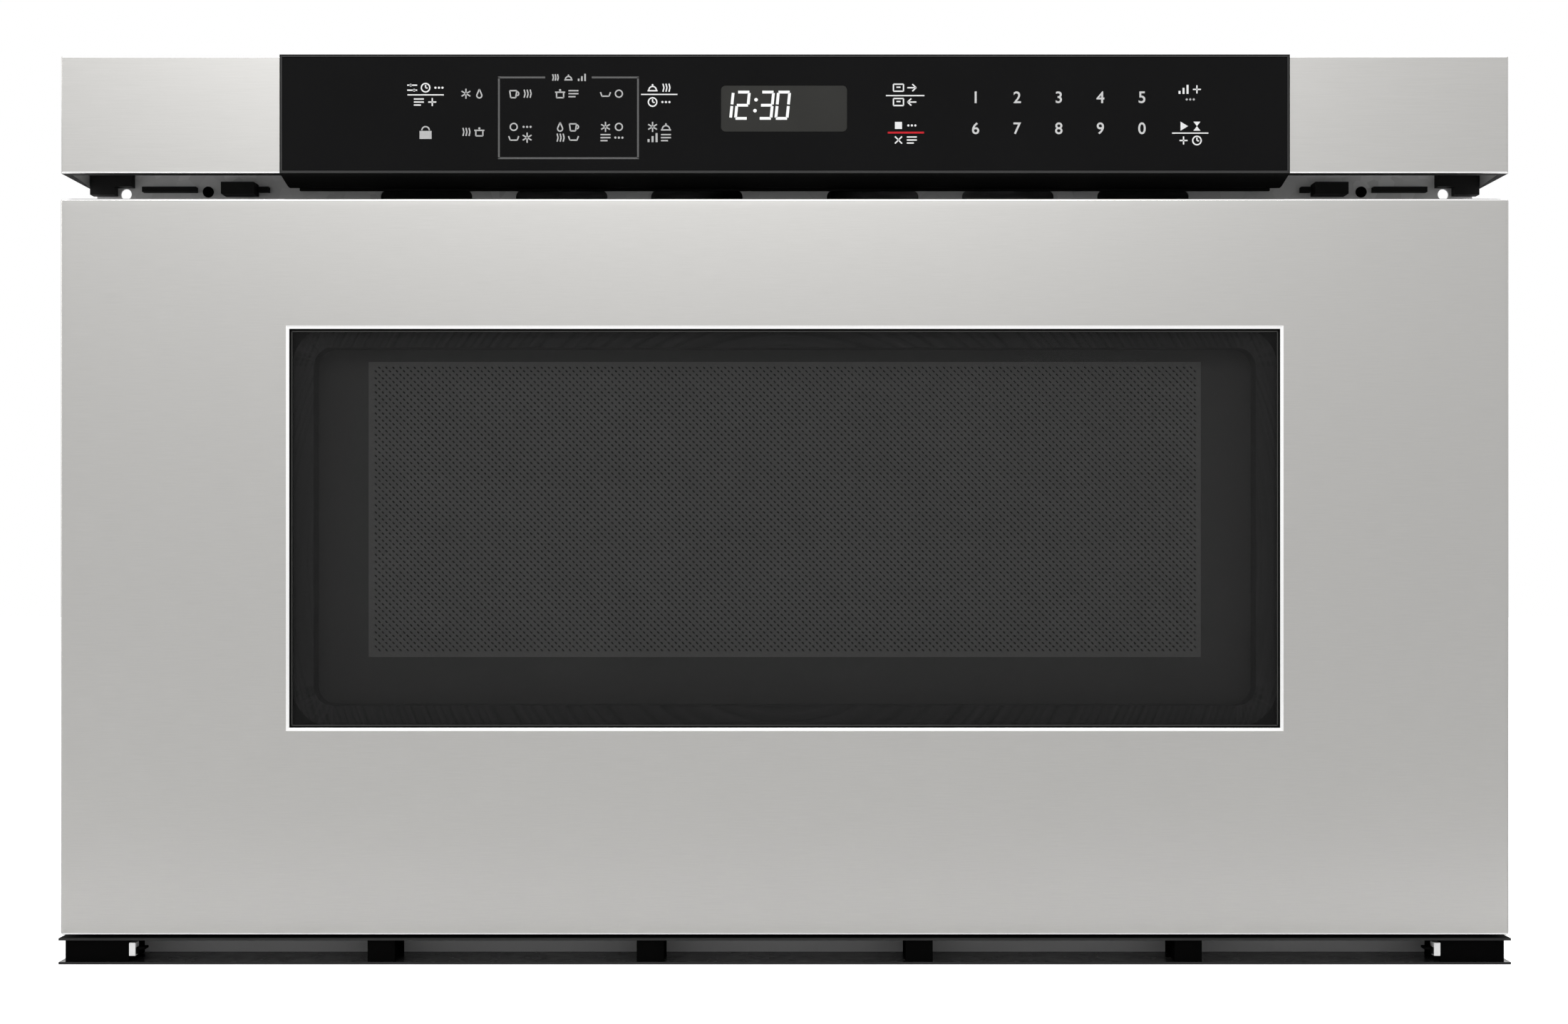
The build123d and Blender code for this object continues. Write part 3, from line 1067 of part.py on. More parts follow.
# ---- Interlock -----------------------------------------------------------------------------------
def latch_hook():
    """Hook on the back of the door that reaches through the flange to a switch."""
    base_y = (COVER_FRONT_Y, COVER_FRONT_Y + HOOK_BASE_THICKNESS)
    base_x = (HOOK_X[0] - HOOK_BASE_MARGIN, HOOK_X[1] + HOOK_BASE_MARGIN)
    hook = block(base_x, base_y, (HOOK_Z[0] - HOOK_BASE_MARGIN, HOOK_Z[1] + HOOK_BASE_MARGIN))
    hook += block(HOOK_X, (base_y[1], HOOK_TIP_Y), HOOK_Z)
    notch_y = (HOOK_TIP_Y - HOOK_NOTCH[1], HOOK_TIP_Y - HOOK_NOTCH[0])
    return hook - block(HOOK_X, notch_y, (HOOK_Z[0], HOOK_Z[0] + HOOK_NOTCH_DEPTH))


def switch_plunger():
    """Sprung plunger that the hook presses."""
    start = HOOK_TIP_Y + PLUNGER_GAP
    plunger = along_y(disc(*PLUNGER_AXIS, PLUNGER_R), start, SWITCH_FACE_Y + PLUNGER_DEPTH)
    return plunger + along_y(disc(*PLUNGER_AXIS, PLUNGER_CAP_R), start, start + PLUNGER_CAP)


def interlock_switch():
    """Switch housing on a plate from the back of the flange."""
    x = (HOOK_X[0] - SWITCH_WALL, HOOK_X[1] + SWITCH_WALL)
    z = (HOOK_Z[0] - SWITCH_WALL, HOOK_Z[1] + SWITCH_WALL)
    end_y = SWITCH_FACE_Y + SWITCH_LENGTH
    switch = block(x, (SWITCH_FACE_Y, end_y), z)
    switch += block((x[1], x[1] + SWITCH_PLATE), (FLANGE_BACK_Y, end_y), z)
    bore_end = SWITCH_FACE_Y + PLUNGER_DEPTH + PLUNGER_OVERTRAVEL
    return switch - along_y(disc(*PLUNGER_AXIS, PLUNGER_R + PLUNGER_FIT), SWITCH_FACE_Y, bore_end)


# ---- Control panel -------------------------------------------------------------------------------
def glass_pocket(clearance):
    """Outline of the touch glass's seat, or of the glass itself with its clearance."""
    inset = PANEL_RIM + clearance
    return rectangle((inset - HALF_PANEL, HALF_PANEL - inset), (PANEL_BOTTOM_Z + inset, PANEL_CROWN_Z - inset))


def display_outline(margin):
    """Outline of the display, grown by a margin."""
    half_x = DISPLAY_WIDTH / 2 + margin
    half_z = DISPLAY_HEIGHT / 2 + margin
    across = (DISPLAY_X - half_x, DISPLAY_X + half_x)
    return rectangle(across, (DISPLAY_Z - half_z, DISPLAY_Z + half_z), DISPLAY_CORNER + margin)


def panel_housing():
    """Black moulded housing, open at the back, with its underside sloping down to the rear."""
    low, high = PANEL_BOTTOM_Z, PANEL_CROWN_Z
    chin_y = FRONT_Y + CHIN_DEPTH
    chin_end_y = chin_y + 2 * PANEL_WALL
    section = [(FRONT_Y, low), (chin_y, low - CHIN_DROP), (chin_end_y, low - CHIN_DROP), (chin_end_y, low)]
    section += [(FLANGE_FRONT_Y, low), (FLANGE_FRONT_Y, high), (FRONT_Y, high)]
    housing = along_x(polygon(section), -HALF_PANEL, HALF_PANEL)
    housing = chamfer(housing.edges().group_by(Axis.Y)[0], PANEL_BEVEL)
    housing -= along_y(glass_pocket(0.0), FRONT_Y, PANEL_GLASS_BACK_Y)
    inner_x = HALF_PANEL - PANEL_WALL
    inner_y = (PANEL_GLASS_BACK_Y + PANEL_WALL, FLANGE_FRONT_Y)
    housing -= block((-inner_x, inner_x), inner_y, (low + PANEL_WALL, high - PANEL_WALL))
    return housing - along_y(display_outline(-DISPLAY_LIP), PANEL_GLASS_BACK_Y, inner_y[0])


def control_glass():
    """Touch glass with an opening for the display."""
    return along_y(glass_pocket(PANEL_GLASS_FIT) - display_outline(0.0), PANEL_GLASS_Y, PANEL_GLASS_BACK_Y)


def display_window():
    """Display lens, set into the touch glass."""
    return along_y(display_outline(-PANEL_GLASS_FIT), PANEL_GLASS_Y + DISPLAY_RECESS, PANEL_GLASS_BACK_Y)


def control_board():
    """Circuit board on standoffs behind the housing's front wall."""
    wall_y = PANEL_GLASS_BACK_Y + PANEL_WALL
    front = wall_y + BOARD_STANDOFF
    back = front + BOARD_THICKNESS
    x = (BOARD_MARGIN - HALF_PANEL, HALF_PANEL - BOARD_MARGIN)
    edge = PANEL_WALL + BOARD_EDGE_GAP
    z = (PANEL_BOTTOM_Z + edge, PANEL_TOP_Z - edge)
    board = block(x, (front, back), z) + standoffs(x, z, wall_y, front)
    relay_z = (z[0] + RELAY_RISE, z[0] + RELAY_RISE + RELAY_SIZE[2])
    for column in RELAY_COLUMNS:
        board += block((column, column + RELAY_SIZE[0]), (back, back + RELAY_SIZE[1]), relay_z)
    return board


def end_trim():
    """Stainless end cap: front, top and outer side, open below, behind and towards the panel."""
    x = (HALF_PANEL, HALF_FACE)
    front = FRONT_Y + PANEL_PROUD
    z = (PANEL_BOTTOM_Z, PANEL_TOP_Z)
    sheet = END_TRIM_SHEET
    trim = block(x, (front, FLANGE_FRONT_Y), z)
    trim = chamfer(trim.edges().group_by(Axis.Y)[0], sheet / 2)
    return trim - block((x[0], x[1] - sheet), (front + sheet, FLANGE_FRONT_Y), (z[0], z[1] - sheet))


def panel_seal():
    """Foam strips on the flange under one end trim, on both sides of the bracket and its screw."""
    y = (FLANGE_FRONT_Y - SEAL_DEPTH, FLANGE_FRONT_Y)
    low = PANEL_BOTTOM_Z - SEAL_DROP
    z = (low, low + SEAL_HEIGHT)
    inner = block((HALF_PANEL + SEAL_OFFSET, BRACKET_X[0] - SEAL_CLEARANCE), y, z)
    past_screw = FLANGE_SCREW_X + SCREW_HEAD_R + SEAL_CLEARANCE
    return group([inner, block((past_screw, HALF_FACE - SEAL_INSET), y, z)])


def panel_bracket():
    """Black bracket and corner foam behind the lower edge of one end trim."""
    bracket_y = (FLANGE_FRONT_Y - BRACKET_DEPTH, FLANGE_FRONT_Y)
    bracket_z = (PANEL_BOTTOM_Z - BRACKET_DROP, PANEL_BOTTOM_Z + BRACKET_TUCK)
    foam_y = (FLANGE_FRONT_Y - FOAM_DEPTH, FLANGE_FRONT_Y)
    foam_top = PANEL_BOTTOM_Z + FOAM_TUCK
    foam = block(FOAM_X, foam_y, (PANEL_BOTTOM_Z - FOAM_DROP, foam_top))
    ledge_x = (FOAM_X[0] - FOAM_LEDGE_WIDTH, FOAM_X[0])
    foam += block(ledge_x, foam_y, (PANEL_BOTTOM_Z + FOAM_LEDGE_RISE, foam_top))
    return group([block(BRACKET_X, bracket_y, bracket_z), foam])


# ---- Lower trim ----------------------------------------------------------------------------------
def lower_trim():
    """Channel open to the front, whose lower flange runs back to the flange of the chassis."""
    wide = (-HALF_TRIM, HALF_TRIM)
    web_x = (TRIM_WEB_INSET - HALF_TRIM, HALF_TRIM - TRIM_WEB_INSET)
    web_y = (TRIM_WEB_Y, TRIM_WEB_Y + TRIM_SHEET)
    trim = block(wide, (TRIM_FRONT_Y, FLANGE_FRONT_Y), (0, TRIM_SHEET))
    trim += block(wide, (TRIM_FRONT_Y, web_y[1]), (TRIM_HEIGHT - TRIM_SHEET, TRIM_HEIGHT))
    return trim + block(web_x, web_y, (TRIM_SHEET, TRIM_HEIGHT - TRIM_SHEET))


def trim_spacers():
    """Four posts and two end blocks between the channel's flanges."""
    y = (TRIM_FRONT_Y + POST_SETBACK, TRIM_WEB_Y)
    z = (TRIM_SHEET, TRIM_HEIGHT - TRIM_SHEET)
    spacers = []
    for index in range(POST_COUNT):
        middle = (index - (POST_COUNT - 1) / 2) * POST_SPACING
        spacers.append(block((middle - POST_WIDTH / 2, middle + POST_WIDTH / 2), y, z))
    outer = HALF_TRIM - TRIM_WEB_INSET
    for side in (-1, 1):
        spacers.append(block(side_span(outer - END_BLOCK_WIDTH, outer, side), y, z))
    return group(spacers)


# ---- Door ----------------------------------------------------------------------------------------
def door_skin():
    """Stainless pan with a bevelled window cut-out."""
    y = (FRONT_Y, FRONT_Y + SKIN_RETURN)
    skin = block((-HALF_FACE, HALF_FACE), y, (DOOR_BOTTOM_Z, DOOR_TOP_Z))
    skin = chamfer(skin.edges().group_by(Axis.Y)[0], SKIN_EDGE)
    inner_x = HALF_FACE - SKIN_SHEET
    inner_z = (DOOR_BOTTOM_Z + SKIN_SHEET, DOOR_TOP_Z - SKIN_SHEET)
    skin -= block((-inner_x, inner_x), (FRONT_Y + SKIN_SHEET, y[1]), inner_z)
    opening = along_y(window_rectangle(WINDOW_BEVEL), FRONT_Y, FRONT_Y + SKIN_SHEET)
    front_face = Plane.XZ.offset(-FRONT_Y) * window_rectangle(0.0)
    bevel_end = Plane.XZ.offset(-FRONT_Y - WINDOW_BEVEL) * window_rectangle(WINDOW_BEVEL)
    return skin - opening - loft([front_face, bevel_end])


def window_rectangle(inset):
    """Window outline, drawn in by an inset on all sides."""
    return rectangle((inset - WINDOW_HALF, WINDOW_HALF - inset), (WINDOW_Z[0] + inset, WINDOW_Z[1] - inset))


def window_gasket():
    """Seal between the window's bevelled edge and the glass."""
    ring = window_rectangle(WINDOW_BEVEL) - window_rectangle(WINDOW_BEVEL + GASKET_WIDTH)
    return along_y(ring, FRONT_Y + GLASS_RECESS / 2, GLASS_BACK_Y)


def door_glass():
    """Outer window glass."""
    return along_y(window_rectangle(WINDOW_BEVEL + GASKET_WIDTH), GLASS_FRONT_Y, GLASS_BACK_Y)


def tunnel(grow):
    """Outline of the window tunnel, grown by a wall."""
    return rectangle(
        (-TUNNEL_HALF - grow, TUNNEL_HALF + grow),
        (TUNNEL_Z[0] - grow, TUNNEL_Z[1] + grow),
        TUNNEL_CORNER + grow,
    )


def inner_window(inset):
    """Outline of the inner glass, drawn in by an inset."""
    total = INNER_GLASS_INSET + inset
    corner = INNER_GLASS_CORNER - min(inset, INNER_GLASS_CORNER / 2)
    return rectangle((total - TUNNEL_HALF, TUNNEL_HALF - total), (TUNNEL_Z[0] + total, TUNNEL_Z[1] - total), corner)


def door_frame():
    """Steel body of the door: back plate, edge walls, window tunnel and glass seat."""
    clear = SKIN_SHEET + FRAME_FIT
    half = HALF_FACE - clear
    z = (DOOR_BOTTOM_Z + clear, DOOR_TOP_Z - clear)
    outside = rectangle((-half, half), z)
    inside = rectangle((FRAME_SHEET - half, half - FRAME_SHEET), (z[0] + FRAME_SHEET, z[1] - FRAME_SHEET))
    plate_front = COVER_FRONT_Y - FRAME_SHEET
    frame = along_y(outside, plate_front, COVER_FRONT_Y)
    frame += along_y(outside - inside, FRONT_Y + SKIN_SHEET, plate_front)
    frame += along_y(tunnel(FRAME_SHEET) - tunnel(0.0), GLASS_BACK_Y, plate_front)
    frame += along_y(tunnel(GLASS_SEAT) - tunnel(0.0), GLASS_BACK_Y, GLASS_BACK_Y + FRAME_SHEET)
    frame -= along_y(inner_window(INNER_OPENING_LAP), plate_front, COVER_FRONT_Y)
    for side in (-1, 1):
        for screw_z in DOOR_SCREW_Z:
            frame -= along_y(disc(side * DOOR_SCREW_X, screw_z, SCREW_HOLE_R), plate_front, COVER_FRONT_Y)
    return frame


def door_screen():
    """Screen sheet across the window tunnel."""
    return along_y(tunnel(0.0), SCREEN_Y, SCREEN_Y + SCREEN_SHEET)


def inner_glass():
    """Pane on the oven side of the window."""
    return along_y(inner_window(0.0), COVER_FRONT_Y, COVER_FRONT_Y + INNER_GLASS_THICKNESS)


def choke_cover():
    """Moulded cover round the inner glass, over the microwave choke."""
    half = HALF_CAVITY + COVER_MARGIN
    up = (CAVITY_FLOOR_Z - COVER_MARGIN, CAVITY_TOP_Z + COVER_MARGIN)
    outline = rectangle((-half, half), up, COVER_CORNER) - inner_window(-COVER_FIT)
    return along_y(outline, COVER_FRONT_Y, DOOR_BACK_Y)


# ---- Drawer --------------------------------------------------------------------------------------
def tub_form(grow):
    """Inside form of the tub, grown by a wall, with its back corners and floor edges rounded."""
    wide = (-HALF_TUB - grow, HALF_TUB + grow)
    form = block(wide, (DOOR_BACK_Y, TUB_BACK_Y + grow), (TUB_FLOOR_Z - grow, TUB_RIM_Z))
    form = fillet(form.edges().filter_by(Axis.Z).group_by(Axis.Y)[-1], TUB_CORNER + grow)
    floor_edges = form.faces().sort_by(Axis.Z)[0].edges().sort_by(Axis.Y)[1:]
    return fillet(floor_edges, TUB_FLOOR_RADIUS + grow)


def drawer_tub():
    """Open-topped tub with a rolled rim and a front flange against the door."""
    wide = (-HALF_TUB - TUB_RIM, HALF_TUB + TUB_RIM)
    rim = block(wide, (DOOR_BACK_Y, TUB_BACK_Y + TUB_RIM), (TUB_RIM_Z - TUB_SHEET, TUB_RIM_Z))
    rim = fillet(rim.edges().filter_by(Axis.Z).group_by(Axis.Y)[-1], TUB_CORNER + TUB_RIM)
    flange_y = (DOOR_BACK_Y, DOOR_BACK_Y + TUB_SHEET)
    flange = block(wide, flange_y, (TUB_FLOOR_Z - TUB_FLANGE_DROP, TUB_RIM_Z + TUB_FLANGE_RISE))
    return tub_form(TUB_SHEET) + rim + flange - tub_form(0.0)


def ceramic_tray():
    """Flat ceramic floor of the tub."""
    half = HALF_TUB - TRAY_MARGIN
    outline = rectangle((-half, half), (DOOR_BACK_Y + TRAY_MARGIN, TUB_BACK_Y - TRAY_MARGIN), TRAY_CORNER)
    return along_z(outline, TUB_FLOOR_Z, TUB_FLOOR_Z + TRAY_THICKNESS)


# ---- Screws --------------------------------------------------------------------------------------
def door_screws():
    """Screws that hold the arms to the door."""
    seat = ARM_FRONT_Y + ARM_SHEET
    right = [screw_to_y(DOOR_SCREW_X, seat, z, -1) for z in DOOR_SCREW_Z]
    return group(right + [mirrored(screw) for screw in right])


def chassis_screws():
    """Screws of the rear panel, the wrap's lower edges and the flange."""
    screws = [screw_to_y(x, REAR_PANEL_Y, z, -1) for x in REAR_SCREW_X for z in REAR_SCREW_Z]
    right = [screw_to_x(HALF_BODY, y, SIDE_SCREW_Z) for y in SIDE_SCREW_Y]
    right.append(screw_to_y(FLANGE_SCREW_X, FLANGE_FRONT_Y, FLANGE_SCREW_Z, 1))
    return group(screws + right + [mirrored(screw) for screw in right])


# ---- The assembly --------------------------------------------------------------------------------
SINGLE_PIECES = {
    "base_plate": base_plate,
    "front_frame": front_frame,
    "cabinet_wrap": cabinet_wrap,
    "rear_panel": rear_panel,
    "cord_gland": cord_gland,
    "oven_cavity": oven_cavity,
    "stirrer_cover": stirrer_cover,
    "stirrer_fan": stirrer_fan,
    "stirrer_motor": stirrer_motor,
    "waveguide": waveguide,
    "magnetron": magnetron,
    "fan_shroud": fan_shroud,
    "fan_motor": fan_motor,
    "cooling_fan": cooling_fan,
    "transformer": transformer,
    "capacitor": capacitor,
    "filter_board": filter_board,
    "cavity_lamp": cavity_lamp,
    "drive_shaft": drive_shaft,
    "shaft_gears": shaft_gears,
    "motor_gear": motor_gear,
    "drive_motor": drive_motor,
    "panel_housing": panel_housing,
    "control_glass": control_glass,
    "display_window": display_window,
    "control_board": control_board,
    "lower_trim": lower_trim,
    "trim_spacers": trim_spacers,
    "door_skin": door_skin,
    "window_gasket": window_gasket,
    "door_glass": door_glass,
    "door_frame": door_frame,
    "door_screen": door_screen,
    "inner_glass": inner_glass,
    "choke_cover": choke_cover,
    "drawer_tub": drawer_tub,
    "ceramic_tray": ceramic_tray,
    "door_screws": door_screws,
    "chassis_screws": chassis_screws,
}

HANDED_PIECES = {
    "outer_rail": outer_rail,
    "mid_rail": mid_rail,
    "inner_rail": inner_rail,
    "drawer_arm": drawer_arm,
    "rack": rack,
    "switch_plunger": switch_plunger,
    "end_trim": end_trim,
}

PAIRED_PIECES = {
    "shaft_bearings": shaft_bearing,
    "interlock_switches": interlock_switch,
    "latch_hooks": latch_hook,
    "panel_seals": panel_seal,
    "panel_brackets": panel_bracket,
}


def all_pieces():
    """Every named piece, in place."""
    pieces = {name: make() for name, make in SINGLE_PIECES.items()}
    for name, make in HANDED_PIECES.items():
        right = make()
        pieces[name + "_right"] = right
        pieces[name + "_left"] = mirrored(right)
    for name, make in PAIRED_PIECES.items():
        pieces[name] = both_sides(make())
    for layer, name in enumerate(("outer_ball_cages", "inner_ball_cages")):
        pieces[name] = both_sides(ball_cage(layer))
    return pieces


os.makedirs("parts", exist_ok=True)
for piece_name, piece in all_pieces().items():
    export_step(piece, f"parts/{piece_name}.step")
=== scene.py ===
import json
import logging
import math
from dataclasses import dataclass
from enum import Enum
from functools import cache
from typing import Iterable, Sequence

import bmesh
import bpy
from mathutils import Matrix, Vector

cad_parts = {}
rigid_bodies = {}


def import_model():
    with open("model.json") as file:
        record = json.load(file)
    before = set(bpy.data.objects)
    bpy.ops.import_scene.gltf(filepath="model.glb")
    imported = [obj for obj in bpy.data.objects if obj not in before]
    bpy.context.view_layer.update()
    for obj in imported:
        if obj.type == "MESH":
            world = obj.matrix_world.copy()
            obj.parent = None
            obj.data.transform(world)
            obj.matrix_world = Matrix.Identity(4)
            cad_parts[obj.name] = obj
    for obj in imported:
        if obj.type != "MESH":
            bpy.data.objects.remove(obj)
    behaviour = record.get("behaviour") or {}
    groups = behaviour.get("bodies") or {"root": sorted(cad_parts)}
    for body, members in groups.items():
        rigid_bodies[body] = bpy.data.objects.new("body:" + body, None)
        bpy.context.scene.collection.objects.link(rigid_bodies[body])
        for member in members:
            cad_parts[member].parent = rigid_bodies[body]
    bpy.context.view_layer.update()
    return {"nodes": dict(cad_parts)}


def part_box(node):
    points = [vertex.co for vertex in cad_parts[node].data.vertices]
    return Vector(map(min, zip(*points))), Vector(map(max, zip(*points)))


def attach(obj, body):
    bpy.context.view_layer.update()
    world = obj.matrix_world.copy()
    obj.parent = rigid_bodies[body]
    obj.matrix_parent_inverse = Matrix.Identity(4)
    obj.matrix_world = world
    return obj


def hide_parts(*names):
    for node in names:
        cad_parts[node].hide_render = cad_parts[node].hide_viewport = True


# Looks of a microwave drawer, in metres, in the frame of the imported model: the face looks along -Y,
# +X is to the viewer's right and +Z is up. Sizes come from the nodes' boxes wherever a piece sits on
# or in one.

LOG = logging.getLogger("microwave_drawer")

MM = 0.001
HAIR = 0.05 * MM  # a printed film, or the clearance of one
WELD = 1e-6  # points nearer than this count as one
FINE_WELD = 1e-7  # the same where the screen's field is trimmed
FLAT = 0.999  # cosine of the widest angle at which a face still looks a given way

Colour = tuple[float, float, float]
Triple = tuple[float, float, float]
Pair = tuple[float, float]
Object = bpy.types.Object
Nodes = dict[str, Object]
Socket = bpy.types.NodeSocket
Mesh, Face = bmesh.types.BMesh, bmesh.types.BMFace
Edge, Vert = bmesh.types.BMEdge, bmesh.types.BMVert


class Side(Enum):
    """The two sides of the drawer, as the viewer sees them."""

    LEFT = -1
    RIGHT = 1

    def node(self, stem: str) -> str:
        """Name of this side's node of a pair."""
        return f"{stem}_{self.name.lower()}"


class Brush(Enum):
    """Direction of a brushed finish, as the stretch of its pattern along X, Y and Z."""

    ALONG_X = (1.0, 60.0, 60.0)
    NONE = (1.0, 1.0, 1.0)


# ---- Finishes ------------------------------------------------------------------------------------


class Recipe:
    """One material while its nodes are laid out."""

    def __init__(self, name: str) -> None:
        """Starts a material with a bare shader."""
        self.material = bpy.data.materials.new(name)
        self.material.use_nodes = True
        self.tree = self.material.node_tree
        self.shader = self.tree.nodes["Principled BSDF"]

    def node(self, kind: str, **settings: object) -> bpy.types.Node:
        """Adds a node.

        Args:
            kind: Blender's name of the node type.
            settings: its properties.

        Returns:
            The node.
        """
        made = self.tree.nodes.new(kind)
        for key, value in settings.items():
            setattr(made, key, value)
        return made

    def join(self, source: Socket, target: Socket) -> None:
        """Links two sockets."""
        self.tree.links.new(source, target)

    def place(self, stretch: Triple = (1.0, 1.0, 1.0)) -> Socket:
        """Object coordinates, stretched.

        Args:
            stretch: scale of the pattern along X, Y and Z.

        Returns:
            The vector socket.
        """
        mapping = self.node("ShaderNodeMapping")
        mapping.inputs["Scale"].default_value = stretch
        self.join(self.node("ShaderNodeTexCoord").outputs["Object"], mapping.inputs["Vector"])
        return mapping.outputs["Vector"]

    def noise(self, size: float, stretch: Triple = (1.0, 1.0, 1.0), detail: float = 2.0) -> Socket:
        """Cloudy noise.

        Args:
            size: size of its blotches, in metres.
            stretch: scale of the pattern along X, Y and Z.
            detail: how many finer layers lie on it.

        Returns:
            The factor socket.
        """
        made = self.node("ShaderNodeTexNoise")
        made.inputs["Scale"].default_value = 1 / size
        made.inputs["Detail"].default_value = detail
        self.join(self.place(stretch), made.inputs["Vector"])
        return made.outputs["Fac"]

    def cells(self, size: float, output: str = "Color", feature: str = "F1") -> Socket:
        """Cell pattern.

        Args:
            size: size of a cell, in metres.
            output: the socket of the node that is wanted.
            feature: which distance the cells measure.

        Returns:
            The socket.
        """
        made = self.node("ShaderNodeTexVoronoi", feature=feature)
        made.inputs["Scale"].default_value = 1 / size
        self.join(self.place(), made.inputs["Vector"])
        return made.outputs[output]

    def span(
        self, factor: Socket, low: float, high: float, start: float = 0.25, end: float = 0.75
    ) -> Socket:
        """A factor spread over a range of values.

        Args:
            factor: what drives it.
            low: value where the factor is at its start.
            high: value where the factor is at its end.
            start: start of the factor.
            end: end of the factor.

        Returns:
            The value socket.
        """
        made = self.node("ShaderNodeMapRange")
        for name, value in (("From Min", start), ("From Max", end), ("To Min", low), ("To Max", high)):
            made.inputs[name].default_value = value
        self.join(factor, made.inputs["Value"])
        return made.outputs["Result"]

    def tint(self, factor: Socket, first: Colour, second: Colour) -> Socket:
        """A colour between two, by a factor from 0 to 1.

        Args:
            factor: what drives it.
            first: the colour at 0.
            second: the colour at 1.

        Returns:
            The colour socket.
        """
        made = self.node("ShaderNodeMix", data_type="RGBA")
        made.inputs["A"].default_value = (*first, 1.0)
        made.inputs["B"].default_value = (*second, 1.0)
        self.join(factor, made.inputs["Factor"])
        return made.outputs["Result"]

    def relief(self, height: Socket, depth: float) -> None:
        """Adds a bump to the shader's normal, on top of any that is there.

        Args:
            height: what drives it.
            depth: its height at 1, in metres.
        """
        made = self.node("ShaderNodeBump")
        made.inputs["Distance"].default_value = depth
        made.inputs["Strength"].default_value = 1.0
        normal = self.shader.inputs["Normal"]
        if normal.is_linked:
            self.join(normal.links[0].from_socket, made.inputs["Normal"])
        self.join(height, made.inputs["Height"])
        self.join(made.outputs["Normal"], normal)

    def set(self, **values: float) -> None:
        """Sets constants on the shader's own sockets, named with _ for spaces."""
        for name, value in values.items():
            self.shader.inputs[name.replace("_", " ")].default_value = value


def grey(level: float) -> Colour:
    """An even grey."""
    return (level, level, level)


def shade(colour: Colour, factor: float) -> Colour:
    """The same colour, lighter or darker."""
    return tuple(min(1.0, channel * factor) for channel in colour)


@dataclass(frozen=True)
class Finish:
    """A plain finish: blotched colour, uneven gloss and a fine grain, all worked out from the place."""

    name: str
    colour: Colour
    contrast: float = 0.08  # colour either side of the middle
    blotch: float = 30 * MM
    roughness: float = 0.5
    unevenness: float = 0.06
    grain: float = 0.6 * MM
    grain_depth: float = 0.02 * MM
    metallic: float = 0.0
    gloss: float = 0.5  # specular level
    coat: float = 0.0
    coat_roughness: float = 0.12
    alpha: float = 1.0
    brush: Brush = Brush.NONE

    @cache
    def material(self) -> bpy.types.Material:
        """The finished material, made once."""
        recipe = Recipe(self.name)
        recipe.set(Metallic=self.metallic, Alpha=self.alpha, Specular_IOR_Level=self.gloss)
        recipe.set(Coat_Weight=self.coat, Coat_Roughness=self.coat_roughness)
        self.lay(recipe)
        return recipe.material

    def lay(self, recipe: Recipe) -> None:
        """Lays out colour, gloss and grain.

        Args:
            recipe: the material in the making.
        """
        self.colour_by(recipe, recipe.noise(self.blotch))
        self.gloss_by(recipe, recipe.noise(self.blotch / 2, self.brush.value))
        recipe.relief(recipe.noise(self.grain, self.brush.value), self.grain_depth)

    def colour_by(self, recipe: Recipe, factor: Socket) -> None:
        """Spreads the colour round its middle by a factor."""
        ends = shade(self.colour, 1 - self.contrast), shade(self.colour, 1 + self.contrast)
        recipe.join(recipe.tint(factor, *ends), recipe.shader.inputs["Base Color"])

    def gloss_by(self, recipe: Recipe, factor: Socket) -> None:
        """Spreads the roughness round its middle by a factor."""
        low, high = self.roughness - self.unevenness, self.roughness + self.unevenness
        recipe.join(recipe.span(factor, low, high), recipe.shader.inputs["Roughness"])


@dataclass(frozen=True)
class BrushedSheet(Finish):
    """Sheet metal brushed one way: long hair lines over slow clouds."""

    metallic: float = 1.0
    line: float = 12 * MM
    line_detail: float = 4.0  # finer layers on the lines
    brush: Brush = Brush.ALONG_X

    def lay(self, recipe: Recipe) -> None:
        """Lays out the clouds in the colour and the lines in gloss and relief.

        Args:
            recipe: the material in the making.
        """
        lines = recipe.noise(self.line, self.brush.value, self.line_detail)
        self.colour_by(recipe, recipe.span(lines, 0.0, 1.0))
        self.gloss_by(recipe, lines)
        recipe.relief(lines, self.grain_depth)
        recipe.relief(recipe.noise(self.blotch), self.grain_depth)


@dataclass(frozen=True)
class SpangledSheet(Finish):
    """Galvanised sheet, with the crystals of its zinc."""

    metallic: float = 1.0
    crystal: float = 7 * MM

    def lay(self, recipe: Recipe) -> None:
        """Lays out the crystals in colour and gloss, and a fine grain.

        Args:
            recipe: the material in the making.
        """
        crystals = recipe.cells(self.crystal)
        self.colour_by(recipe, crystals)
        self.gloss_by(recipe, crystals)
        recipe.relief(recipe.noise(self.grain), self.grain_depth)


@dataclass(frozen=True)
class SpeckledGlaze(Finish):
    """Glazed ceramic or pressed mica: specks under a wavy skin."""

    speck: float = 1.2 * MM
    speck_share: float = 0.16
    speck_fade: float = 1.5  # where a speck's soft edge ends, to its share
    wave: float = 8 * MM

    def lay(self, recipe: Recipe) -> None:
        """Lays out the specks in the colour and the waves in the relief.

        Args:
            recipe: the material in the making.
        """
        distance = recipe.cells(self.speck, "Distance")
        specks = recipe.span(distance, 0.0, 1.0, self.speck_share, self.speck_share * self.speck_fade)
        self.colour_by(recipe, specks)
        self.gloss_by(recipe, recipe.noise(self.blotch))
        recipe.relief(recipe.noise(self.wave), self.grain_depth)


